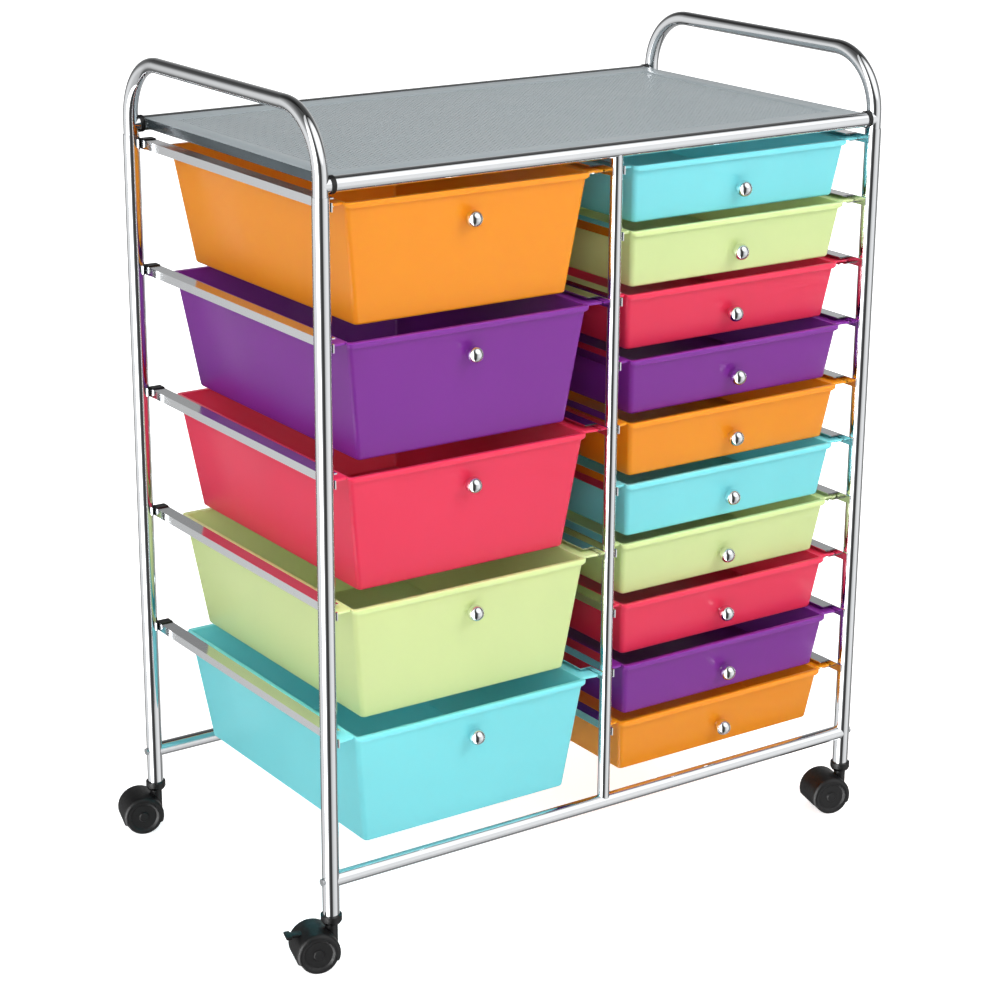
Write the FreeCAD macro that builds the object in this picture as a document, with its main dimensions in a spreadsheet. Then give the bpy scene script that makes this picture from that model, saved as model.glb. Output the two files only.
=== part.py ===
"""Rolling craft cart: five deep and ten shallow drawers in a chrome tube frame.

Millimetres. +X is the cart's right as seen from the front, the drawers open towards -Y and
+Z is up. The floor is z = 0, and the origin lies under the middle of the whole outline.
"""
import FreeCAD, Part
import math
import os
import Sketcher

SIZES = [
    # alias, value, what it is
    ("cart_width", 624, "spacing of the left and right post axes"),
    ("cart_depth", 354, "spacing of the front and rear post axes"),
    ("post_foot", 47.5, "height of a post's lower end above the floor"),
    ("post_length", 675, "length of a corner post"),
    ("post_diameter", 16, "corner post tube"),
    ("post_wall", 0.8, "wall of the corner post tube"),
    ("centre_post_diameter", 12, "centre post tube"),
    ("centre_post_wall", 1.2, "wall of the centre post tube"),
    ("handle_rise", 72.3, "post top to the middle of the grip tube"),
    ("handle_bend", 58, "bend radius of the handle tube"),
    ("handle_wall", 1.2, "wall of the handle tube"),
    ("handle_plug", 30, "depth of the handle's leg inside a post"),
    ("bar_diameter", 14.5, "cross bar tube"),
    ("bar_wall", 1.2, "wall of the cross bar tube"),
    ("bar_plug", 15, "solid end of a cross bar"),
    ("bottom_bar_rise", 37.5, "post foot to the axis of a bottom bar"),
    ("top_bar_rise", 9.5, "post top to the axis of a top bar"),
    ("screw_head", 7, "head diameter of a frame screw"),
    ("screw_head_height", 2, "head height of a frame screw"),
    ("screw_diameter", 4, "shank of a frame screw"),
    ("screw_length", 12, "screw length inside the bar"),
    ("screw_clearance", 0.15, "radial clearance of a screw in a post"),
    ("tray_rise", 6.2, "top bar axis to the tray's upper face"),
    ("tray_sheet", 1.2, "thickness of the tray sheet"),
    ("tray_inset", 12, "post axis to the tray's side flange"),
    ("tray_flange", 10, "height of the tray's side flange"),
    ("ring_diameter", 16.4, "end ring on a top bar"),
    ("ring_length", 4, "length of an end ring"),
    ("ring_gap", 0.3, "gap between the tray's flange and an end ring"),
    ("rail_drop", 23, "top bar axis down to the first rail's lower face"),
    ("rail_pitch", 61.6, "height from one shallow drawer's rail to the next"),
    ("shallow_count", 10, "drawers in the right column"),
    ("deep_count", 5, "drawers in the left column, each as tall as two shallow ones"),
    ("rail_height", 8, "outside height of a rail channel"),
    ("rail_width", 13.5, "outside width of a rail channel"),
    ("rail_wall", 1.2, "sheet of a rail channel"),
    ("rail_tab", 4, "web tab that runs past a post's axis"),
    ("rail_setback", 15, "front post axis to the front end of the flanges"),
    ("rail_rear_gap", 9, "rear post axis to the rear end of the flanges"),
    ("stop_length", 10, "end stop block"),
    ("stop_overhang", 1, "end stop above and below its rail"),
    ("drawer_setback", 11, "front post axis to a shut drawer's front lip"),
    ("stop_gap", 2, "rear lip of a shut drawer to its end stops"),
    ("lip_gap", 1.3, "side gap between a lip and its rail"),
    ("lip_lift", 0.6, "lip above the rail's lower flange"),
    ("lip_thickness", 2.5, "lip sheet"),
    ("lip_reach", 18.2, "lip beyond the tub's side wall"),
    ("lip_corner", 6, "corner radius of a lip"),
    ("front_lip_reach", 3, "lip in front of the tub's front wall"),
    ("rear_lip_reach", 4, "lip behind the tub's rear wall"),
    ("skirt_drop", 5.5, "front lip's skirt below the lip"),
    ("tub_wall", 2, "drawer wall"),
    ("tub_floor", 2.2, "drawer floor"),
    ("tub_corner", 8, "corner radius of a drawer"),
    ("deep_drop", 108.5, "rail's lower face to a deep drawer's underside"),
    ("deep_side_taper", 14.8, "a deep drawer's side wall, top to bottom"),
    ("deep_front_taper", 11, "a deep drawer's front wall, top to bottom"),
    ("deep_rear_taper", 17, "a deep drawer's rear wall, top to bottom"),
    ("deep_knob_drop", 22.2, "rail's lower face to a deep drawer's knob"),
    ("shallow_drop", 51.5, "rail's lower face to a shallow drawer's underside"),
    ("shallow_side_taper", 6.3, "a shallow drawer's side wall, top to bottom"),
    ("shallow_front_taper", 8, "a shallow drawer's front wall, top to bottom"),
    ("shallow_rear_taper", 8, "a shallow drawer's rear wall, top to bottom"),
    ("shallow_knob_drop", 28.5, "rail's lower face to a shallow drawer's knob"),
    ("knob_diameter", 16, "knob ball"),
    ("knob_stand", 12.5, "drawer front to the ball's middle"),
    ("knob_base", 11, "knob's foot diameter"),
    ("knob_base_height", 1.5, "knob's foot height"),
    ("knob_neck", 7, "knob's neck diameter"),
    ("rivet_diameter", 4, "knob's shank"),
    ("rivet_head", 8, "knob's rivet head inside the drawer"),
    ("rivet_head_height", 1.5, "height of the rivet head"),
    ("rivet_clearance", 0.15, "radial clearance of the shank"),
    ("rivet_grip", 0.8, "shank left over beyond the wall"),
    ("wheel_diameter", 38, "caster wheel"),
    ("wheel_width", 12, "width of one wheel of a pair"),
    ("wheel_dish", 2, "depth of the dish in a wheel's face"),
    ("wheel_hub", 10, "hub boss diameter"),
    ("wheel_rim", 5, "width of the rim around the dish"),
    ("tread_chamfer", 1.5, "chamfer of the tread"),
    ("axle_diameter", 5, "wheel axle"),
    ("axle_clearance", 0.05, "radial clearance of the axle in the hood"),
    ("hood_web", 13, "hood's web between the wheels"),
    ("hood_wall", 1.5, "hood's fender"),
    ("hood_gap", 0.7, "wheel to fender"),
    ("hood_side_gap", 0.5, "wheel to web, and fender beyond the wheels"),
    ("hood_skirt", 7.5, "wheel axis to the hood's lower edge"),
    ("caster_trail", 16.4, "swivel axis to wheel axis"),
    ("caster_swing", 16, "swivel of the casters as the cart stands, in degrees"),
    ("neck_diameter", 12, "caster neck"),
    ("neck_gap", 0.2, "neck to socket"),
    ("pin_diameter", 8, "caster pin"),
    ("pin_length", 22, "caster pin above the neck"),
    ("pin_clearance", 0.05, "radial clearance of the pin in its socket"),
    ("socket_diameter", 20, "socket's cup"),
    ("socket_base", 5, "socket's floor below the post"),
    ("socket_cup", 3, "socket's cup up the post"),
    ("socket_taper", 1.5, "socket's cup, narrower at its foot"),
    ("socket_plug", 24, "socket's plug inside the post"),
    ("brake_slot", 9, "slot in the hood for the brake lever"),
    ("brake_gap", 0.25, "lever to slot on each side"),
    ("brake_back", 10, "wheel axis back to the lever's pivot"),
    ("brake_height", 15.5, "wheel axis up to the lever's pivot"),
    ("brake_barrel", 5, "lever's barrel diameter"),
    ("brake_pin", 2.4, "lever's pivot pin diameter"),
    ("brake_pin_length", 11.4, "lever's pivot pin"),
    ("brake_plate", 3, "lever plate"),
    ("brake_reach", 18, "pivot to the pedal's end"),
    ("pedal_length", 6, "pedal beyond the hood"),
    ("pedal_width", 14, "pedal"),
]

# How far each drawer stands open as the cart is shown, from the top one down.
DEEP_PULLS = [7, 9, 8, 12, 15]
SHALLOW_PULLS = [6, 5, 0, 8, 8, 6, 1, 3, 8.5, 4]

# Sizes worked out from the sheet, as expressions.
HALF_WIDTH = "sizes.cart_width / 2"
HALF_DEPTH = "sizes.cart_depth / 2"
CENTRE_X = "sizes.caster_trail * cos(sizes.caster_swing * 1 deg)"
CENTRE_Y = "-sizes.caster_trail * sin(sizes.caster_swing * 1 deg)"
POST_TOP = "(sizes.post_foot + sizes.post_length)"
POST_BORE = "(sizes.post_diameter / 2 - sizes.post_wall)"
BOTTOM_BAR_Z = "(sizes.post_foot + sizes.bottom_bar_rise)"
TOP_BAR_Z = f"({POST_TOP} + sizes.top_bar_rise)"
TRAY_TOP = f"({TOP_BAR_Z} + sizes.tray_rise)"
FIRST_RAIL_Z = f"({TOP_BAR_Z} - sizes.rail_drop)"
OUTER_WEB_X = f"({HALF_WIDTH} - sizes.post_diameter / 2)"
INNER_WEB_X = "(sizes.centre_post_diameter / 2)"
COLUMN_X = f"(({OUTER_WEB_X} + {INNER_WEB_X}) / 2)"
LIP_HALF = f"(({OUTER_WEB_X} - {INNER_WEB_X}) / 2 - sizes.rail_wall - sizes.lip_gap)"
TUB_HALF = f"({LIP_HALF} - sizes.lip_reach)"
DRAWER_LENGTH = "(sizes.cart_depth - sizes.drawer_setback - sizes.rail_rear_gap - sizes.stop_gap)"
LIP_LOW = "(sizes.rail_wall + sizes.lip_lift)"
LIP_TOP = f"({LIP_LOW} + sizes.lip_thickness)"
WHEEL_RADIUS = "(sizes.wheel_diameter / 2)"
HOOD_INNER = f"({WHEEL_RADIUS} + sizes.hood_gap)"
HOOD_OUTER = f"({HOOD_INNER} + sizes.hood_wall)"
WHEEL_INNER_FACE = "(sizes.hood_web / 2 + sizes.hood_side_gap)"
WHEEL_OUTER_FACE = f"({WHEEL_INNER_FACE} + sizes.wheel_width)"
NECK_TOP = "(sizes.post_foot - sizes.socket_base - sizes.neck_gap)"

SMALL = 1e-9
CUT = 60  # longer than anything that a short cut goes through

os.makedirs("parts", exist_ok=True)
doc = FreeCAD.newDocument("craft_drawer_cart")
sheet = doc.addObject("Spreadsheet::Sheet", "sizes")
for row, (alias, value, meaning) in enumerate(SIZES, start=1):
    sheet.set(f"A{row}", meaning)
    sheet.set(f"B{row}", str(value))
    sheet.setAlias(f"B{row}", alias)
doc.recompute()
nodes = []


def value_of(expression):
    """Return the number that an expression over the sheet gives."""
    result = sheet.evalExpression(str(expression))
    return float(getattr(result, "Value", result))


def new_body(name, x="0", y="0", z="0"):
    """Start a sub-part whose own origin stands at x, y, z in the cart's middle frame."""
    body = doc.addObject("PartDesign::Body", name)
    body.Label = name
    body.setExpression("Placement.Base.x", f"{CENTRE_X} + {x}")
    body.setExpression("Placement.Base.y", f"{CENTRE_Y} + {y}")
    body.setExpression("Placement.Base.z", z)
    nodes.append(body)
    return body


def turn(body, axis, angle):
    """Turn a sub-part about an axis through its own origin."""
    body.Placement.Rotation = FreeCAD.Rotation(FreeCAD.Vector(*axis), 1)
    body.setExpression("Placement.Rotation.Angle", angle)


def origin_feature(body, role):
    """Return the body's own origin plane or axis with this role."""
    return next(f for f in body.Origin.OriginFeatures if f.Role == role)


def new_sketch(body, plane, offset=None):
    """Start a sketch on one of the body's origin planes."""
    sketch = body.newObject("Sketcher::SketchObject", f"{body.Name}_sketch")
    sketch.AttachmentSupport = [(origin_feature(body, plane), "")]
    sketch.MapMode = "FlatFace"
    if offset is not None:
        sketch.setExpression("AttachmentOffset.Base.z", offset)
    return sketch


def bind(sketch, constraint, expression):
    """Add a size to a sketch and tie it to the sheet."""
    index = sketch.addConstraint(constraint)
    sketch.setExpression(f"Constraints[{index}]", expression)


def place_point(sketch, geometry, point, x, y):
    """Hold a sketch point at x, y, each an expression."""
    for kind, expression, axis in (("DistanceX", x, -2), ("DistanceY", y, -1)):
        number = value_of(expression)
        if abs(number) < SMALL:
            sketch.addConstraint(Sketcher.Constraint("PointOnObject", geometry, point, axis))
        else:
            bind(sketch, Sketcher.Constraint(kind, -1, 1, geometry, point, number), expression)


def circle(sketch, x, y, radius):
    """Draw a circle about x, y."""
    centre = FreeCAD.Vector(value_of(x), value_of(y), 0)
    shape = Part.Circle(centre, FreeCAD.Vector(0, 0, 1), value_of(radius))
    geometry = sketch.addGeometry(shape, False)
    place_point(sketch, geometry, 3, x, y)
    bind(sketch, Sketcher.Constraint("Radius", geometry, value_of(radius)), radius)


def polygon(sketch, points):
    """Draw a closed polygon through points given as pairs of expressions."""
    spots = [FreeCAD.Vector(value_of(x), value_of(y), 0) for x, y in points]
    lines = []
    for start, end in zip(spots, spots[1:] + spots[:1]):
        lines.append(sketch.addGeometry(Part.LineSegment(start, end), False))
    for line, following in zip(lines, lines[1:] + lines[:1]):
        sketch.addConstraint(Sketcher.Constraint("Coincident", line, 2, following, 1))
    for line, (x, y) in zip(lines, points):
        place_point(sketch, line, 1, x, y)


def rectangle(sketch, x_low, x_high, y_low, y_high):
    """Draw a rectangle between two opposite corners."""
    polygon(sketch, [(x_low, y_low), (x_high, y_low), (x_high, y_high), (x_low, y_high)])


def rounded_rectangle(sketch, half_width, y_low, y_high, corner):
    """Draw a rectangle with round corners, centred on the sketch's vertical axis."""
    half, low, high, radius = (value_of(e) for e in (half_width, y_low, y_high, corner))
    corners = [
        (half - radius, low + radius, -90),
        (half - radius, high - radius, 0),
        (radius - half, high - radius, 90),
        (radius - half, low + radius, 180),
    ]
    arcs = []
    for x, y, start in corners:
        whole = Part.Circle(FreeCAD.Vector(x, y, 0), FreeCAD.Vector(0, 0, 1), radius)
        arc = Part.ArcOfCircle(whole, math.radians(start), math.radians(start + 90))
        arcs.append(sketch.addGeometry(arc, False))
    lines = []
    for arc, following in zip(arcs, arcs[1:] + arcs[:1]):
        start = sketch.Geometry[arc].EndPoint
        end = sketch.Geometry[following].StartPoint
        line = sketch.addGeometry(Part.LineSegment(start, end), False)
        sketch.addConstraint(Sketcher.Constraint("Tangent", arc, 2, line, 1))
        sketch.addConstraint(Sketcher.Constraint("Tangent", line, 2, following, 1))
        lines.append(line)
    for first, second, kind in ((0, 2, "Vertical"), (1, 3, "Horizontal")):
        sketch.addConstraint(Sketcher.Constraint(kind, lines[first]))
        sketch.addConstraint(Sketcher.Constraint(kind, lines[second]))
    for arc in arcs[1:]:
        sketch.addConstraint(Sketcher.Constraint("Equal", arcs[0], arc))
    bind(sketch, Sketcher.Constraint("Radius", arcs[0], radius), corner)
    bind(sketch, Sketcher.Constraint("DistanceX", -1, 1, lines[0], 1, half), half_width)
    bind(sketch, Sketcher.Constraint("DistanceX", -1, 1, lines[2], 1, -half), f"-({half_width})")
    bind(sketch, Sketcher.Constraint("DistanceY", -1, 1, lines[1], 1, high), y_high)
    bind(sketch, Sketcher.Constraint("DistanceY", -1, 1, lines[3], 1, low), y_low)


def pad(body, sketch, length, both_ways=False):
    """Extrude a sketch along its normal, or half each way."""
    feature = body.newObject("PartDesign::Pad", f"{body.Name}_pad")
    feature.Profile = sketch
    feature.Midplane = both_ways
    feature.setExpression("Length", length)
    return feature


def pocket(body, sketch, length, both_ways=True):
    """Cut a sketch out of the body, half each way or against its normal."""
    feature = body.newObject("PartDesign::Pocket", f"{body.Name}_pocket")
    feature.Profile = sketch
    feature.Midplane = both_ways
    feature.setExpression("Length", str(length))
    return feature


def revolve(body, sketch, kind="PartDesign::Revolution"):
    """Turn a sketch about its own vertical axis."""
    feature = body.newObject(kind, f"{body.Name}_revolution")
    feature.Profile = sketch
    feature.ReferenceAxis = (sketch, ["V_Axis"])
    feature.Angle = 360
    return feature


def loft(body, sketches, kind="PartDesign::AdditiveLoft"):
    """Join two sketches with a loft."""
    feature = body.newObject(kind, f"{body.Name}_loft")
    feature.Profile = sketches[0]
    feature.Sections = sketches[1:]
    feature.Ruled = True
    return feature


def repeat(body, features, axis, length, count, backwards=False):
    """Repeat features along one axis; the body's tip moves to the pattern."""
    pattern = body.newObject("PartDesign::LinearPattern", f"{body.Name}_pattern")
    pattern.Originals = features
    pattern.Direction = (origin_feature(body, axis), [""])
    pattern.Reversed = backwards
    pattern.setExpression("Length", length)
    pattern.setExpression("Occurrences", count)
    body.Tip = pattern
    return pattern


def four_corners(body, features, x_spacing, y_spacing):
    """Repeat features at the four corners of a rectangle, from its low corner."""
    pattern = repeat(body, features, "X_Axis", x_spacing, "2")
    pattern.Direction2 = (origin_feature(body, "Y_Axis"), [""])
    pattern.setExpression("Length2", y_spacing)
    pattern.setExpression("Occurrences2", "2")


def corner_post(name, x, y):
    """Tube with cross holes for the bottom bar's screw."""
    body = new_body(name, x, y, "sizes.post_foot")
    section = new_sketch(body, "XY_Plane")
    circle(section, "0", "0", "sizes.post_diameter / 2")
    circle(section, "0", "0", POST_BORE)
    pad(body, section, "sizes.post_length")
    hole = new_sketch(body, "YZ_Plane")
    circle(hole, "0", "sizes.bottom_bar_rise", "sizes.screw_diameter / 2 + sizes.screw_clearance")
    pocket(body, hole, CUT)


def centre_post(name, y):
    """Thinner tube between a bottom bar and a top bar, saddled onto both."""
    body = new_body(name, "0", y)
    section = new_sketch(body, "XY_Plane", BOTTOM_BAR_Z)
    circle(section, "0", "0", "sizes.centre_post_diameter / 2")
    circle(section, "0", "0", "sizes.centre_post_diameter / 2 - sizes.centre_post_wall")
    pad(body, section, f"{TOP_BAR_Z} - {BOTTOM_BAR_Z}")
    saddles = new_sketch(body, "YZ_Plane")
    circle(saddles, "0", BOTTOM_BAR_Z, "sizes.bar_diameter / 2")
    circle(saddles, "0", TOP_BAR_Z, "sizes.bar_diameter / 2")
    pocket(body, saddles, CUT)


def cross_bar(name, y, z, saddle_radius, screwed):
    """Tube with solid ends, coped to fit round the posts or handle legs."""
    body = new_body(name, "0", y, z)
    outside = new_sketch(body, "YZ_Plane")
    circle(outside, "0", "0", "sizes.bar_diameter / 2")
    pad(body, outside, "sizes.cart_width", both_ways=True)
    bore = new_sketch(body, "YZ_Plane")
    circle(bore, "0", "0", "sizes.bar_diameter / 2 - sizes.bar_wall")
    pocket(body, bore, f"2 * ({OUTER_WEB_X} - sizes.bar_plug)")
    saddles = new_sketch(body, "XY_Plane")
    circle(saddles, HALF_WIDTH, "0", saddle_radius)
    circle(saddles, f"-{HALF_WIDTH}", "0", saddle_radius)
    pocket(body, saddles, CUT)
    if not screwed:
        return
    for side in ("", "-"):
        tapped = new_sketch(body, "YZ_Plane", f"{side}({OUTER_WEB_X} - sizes.screw_length / 2)")
        circle(tapped, "0", "0", "sizes.screw_diameter / 2")
        pocket(body, tapped, "sizes.screw_length + 2 * sizes.post_wall")


def handle(name, x):
    """Bent tube over one side of the cart, with a leg plugged into each post."""
    body = new_body(name, x, "0", POST_TOP)
    path = new_sketch(body, "YZ_Plane")
    half, rise, bend = (value_of(e) for e in (HALF_DEPTH, "sizes.handle_rise", "sizes.handle_bend"))
    plug = value_of("sizes.handle_plug")
    spine = [
        Part.LineSegment(FreeCAD.Vector(-half, -plug, 0), FreeCAD.Vector(-half, rise - bend, 0)),
        Part.ArcOfCircle(
            Part.Circle(FreeCAD.Vector(bend - half, rise - bend, 0), FreeCAD.Vector(0, 0, 1), bend),
            math.pi / 2,
            math.pi,
        ),
        Part.LineSegment(FreeCAD.Vector(bend - half, rise, 0), FreeCAD.Vector(half - bend, rise, 0)),
        Part.ArcOfCircle(
            Part.Circle(FreeCAD.Vector(half - bend, rise - bend, 0), FreeCAD.Vector(0, 0, 1), bend),
            0,
            math.pi / 2,
        ),
        Part.LineSegment(FreeCAD.Vector(half, rise - bend, 0), FreeCAD.Vector(half, -plug, 0)),
    ]
    leg, rear_arc, grip, front_arc, far_leg = (path.addGeometry(edge, False) for edge in spine)
    for first, end, second, start in (
        (leg, 2, rear_arc, 2),
        (rear_arc, 1, grip, 1),
        (grip, 2, front_arc, 2),
        (front_arc, 1, far_leg, 1),
    ):
        path.addConstraint(Sketcher.Constraint("Tangent", first, end, second, start))
    path.addConstraint(Sketcher.Constraint("Vertical", leg))
    path.addConstraint(Sketcher.Constraint("Horizontal", grip))
    path.addConstraint(Sketcher.Constraint("Vertical", far_leg))
    path.addConstraint(Sketcher.Constraint("Equal", rear_arc, front_arc))
    bind(path, Sketcher.Constraint("Radius", rear_arc, bend), "sizes.handle_bend")
    place_point(path, leg, 1, f"-{HALF_DEPTH}", "-sizes.handle_plug")
    place_point(path, far_leg, 2, HALF_DEPTH, "-sizes.handle_plug")
    bind(path, Sketcher.Constraint("DistanceY", -1, 1, grip, 1, rise), "sizes.handle_rise")
    section = new_sketch(body, "XY_Plane", "-sizes.handle_plug")
    circle(section, "0", f"-{HALF_DEPTH}", POST_BORE)
    circle(section, "0", f"-{HALF_DEPTH}", f"{POST_BORE} - sizes.handle_wall")
    tube = body.newObject("PartDesign::AdditivePipe", f"{name}_pipe")
    tube.Profile = section
    tube.Spine = path
    tube.Mode = "Frenet"


def top_tray():
    """Flat perforated shelf with a flange down each side, between the top bars."""
    body = new_body("top_tray", "0", "0", TRAY_TOP)
    reach = "sqrt(pow(sizes.bar_diameter / 2; 2) - pow(sizes.tray_rise - sizes.tray_sheet; 2))"
    half_depth = f"({HALF_DEPTH} - {reach})"
    half_width = f"({HALF_WIDTH} - sizes.tray_inset)"
    section = new_sketch(body, "XZ_Plane")
    inner = f"({half_width} - sizes.tray_sheet)"
    polygon(section, [
        (f"-{half_width}", "0"),
        (half_width, "0"),
        (half_width, "-sizes.tray_flange"),
        (inner, "-sizes.tray_flange"),
        (inner, "-sizes.tray_sheet"),
        (f"-{inner}", "-sizes.tray_sheet"),
        (f"-{inner}", "-sizes.tray_flange"),
        (f"-{half_width}", "-sizes.tray_flange"),
    ])
    pad(body, section, f"2 * {half_depth}", both_ways=True)
    seats = new_sketch(body, "YZ_Plane")
    circle(seats, HALF_DEPTH, "-sizes.tray_rise", "sizes.bar_diameter / 2")
    circle(seats, f"-{HALF_DEPTH}", "-sizes.tray_rise", "sizes.bar_diameter / 2")
    pocket(body, seats, "sizes.cart_width")


def bar_end_rings():
    """Black ring on each end of both top bars."""
    start = f"({HALF_WIDTH} - sizes.tray_inset + sizes.ring_gap)"
    body = new_body("bar_end_rings", f"-({start} + sizes.ring_length)", f"-{HALF_DEPTH}", TOP_BAR_Z)
    section = new_sketch(body, "YZ_Plane")
    circle(section, "0", "0", "sizes.ring_diameter / 2")
    circle(section, "0", "0", "sizes.bar_diameter / 2")
    ring = pad(body, section, "sizes.ring_length")
    four_corners(body, [ring], f"2 * {start} + sizes.ring_length", "sizes.cart_depth")


def frame_screws():
    """Screw through each corner post into the end of a bottom bar."""
    body = new_body("frame_screws", "0", f"-{HALF_DEPTH}", BOTTOM_BAR_Z)
    outer = f"({HALF_WIDTH} + sizes.post_diameter / 2)"
    parts = []
    for side in ("", "-"):
        head = new_sketch(body, "YZ_Plane", f"{side}({outer} + sizes.screw_head_height / 2)")
        circle(head, "0", "0", "sizes.screw_head / 2")
        parts.append(pad(body, head, "sizes.screw_head_height", both_ways=True))
        length = "(sizes.post_diameter + sizes.screw_length)"
        shank = new_sketch(body, "YZ_Plane", f"{side}({outer} - {length} / 2)")
        circle(shank, "0", "0", "sizes.screw_diameter / 2")
        parts.append(pad(body, shank, length, both_ways=True))
    repeat(body, parts, "Y_Axis", "sizes.cart_depth", "2")


def rail_stack(name, web_x, inward, pitch, count):
    """Channels of one side of a column, open towards the drawers."""
    body = new_body(name, web_x, "0", FIRST_RAIL_Z)
    web = new_sketch(body, "XZ_Plane")
    wall = f"{inward} * sizes.rail_wall"
    rectangle(web, "0", wall, "0", "sizes.rail_height")
    tabs = pad(body, web, f"2 * ({HALF_DEPTH} + sizes.rail_tab)", both_ways=True)
    length = "(sizes.cart_depth - sizes.rail_setback - sizes.rail_rear_gap)"
    middle = "(sizes.rail_setback - sizes.rail_rear_gap) / 2"
    flanges = new_sketch(body, "XZ_Plane", f"-{middle}")
    for low, high in (
        ("0", "sizes.rail_wall"),
        ("sizes.rail_height - sizes.rail_wall", "sizes.rail_height"),
    ):
        rectangle(flanges, wall, f"{inward} * sizes.rail_width", low, high)
    channel = pad(body, flanges, length, both_ways=True)
    repeat(body, [tabs, channel], "Z_Axis", f"{pitch} * ({count} - 1)", count, backwards=True)


def rail_end_stops(stacks):
    """Black block behind each rail, where a shut drawer's lip stops."""
    body = new_body("rail_end_stops", "0", "0", FIRST_RAIL_Z)
    start = f"({HALF_DEPTH} - sizes.rail_rear_gap)"
    for web_x, inward, pitch, count in stacks:
        block = new_sketch(body, "XZ_Plane", f"-({start} + sizes.stop_length / 2)")
        rectangle(
            block,
            f"{web_x} + {inward} * sizes.rail_wall",
            f"{web_x} + {inward} * sizes.rail_width",
            "-sizes.stop_overhang",
            "sizes.rail_height + sizes.stop_overhang",
        )
        first = pad(body, block, "sizes.stop_length", both_ways=True)
        repeat(body, [first], "Z_Axis", f"{pitch} * ({count} - 1)", count, backwards=True)


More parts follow.
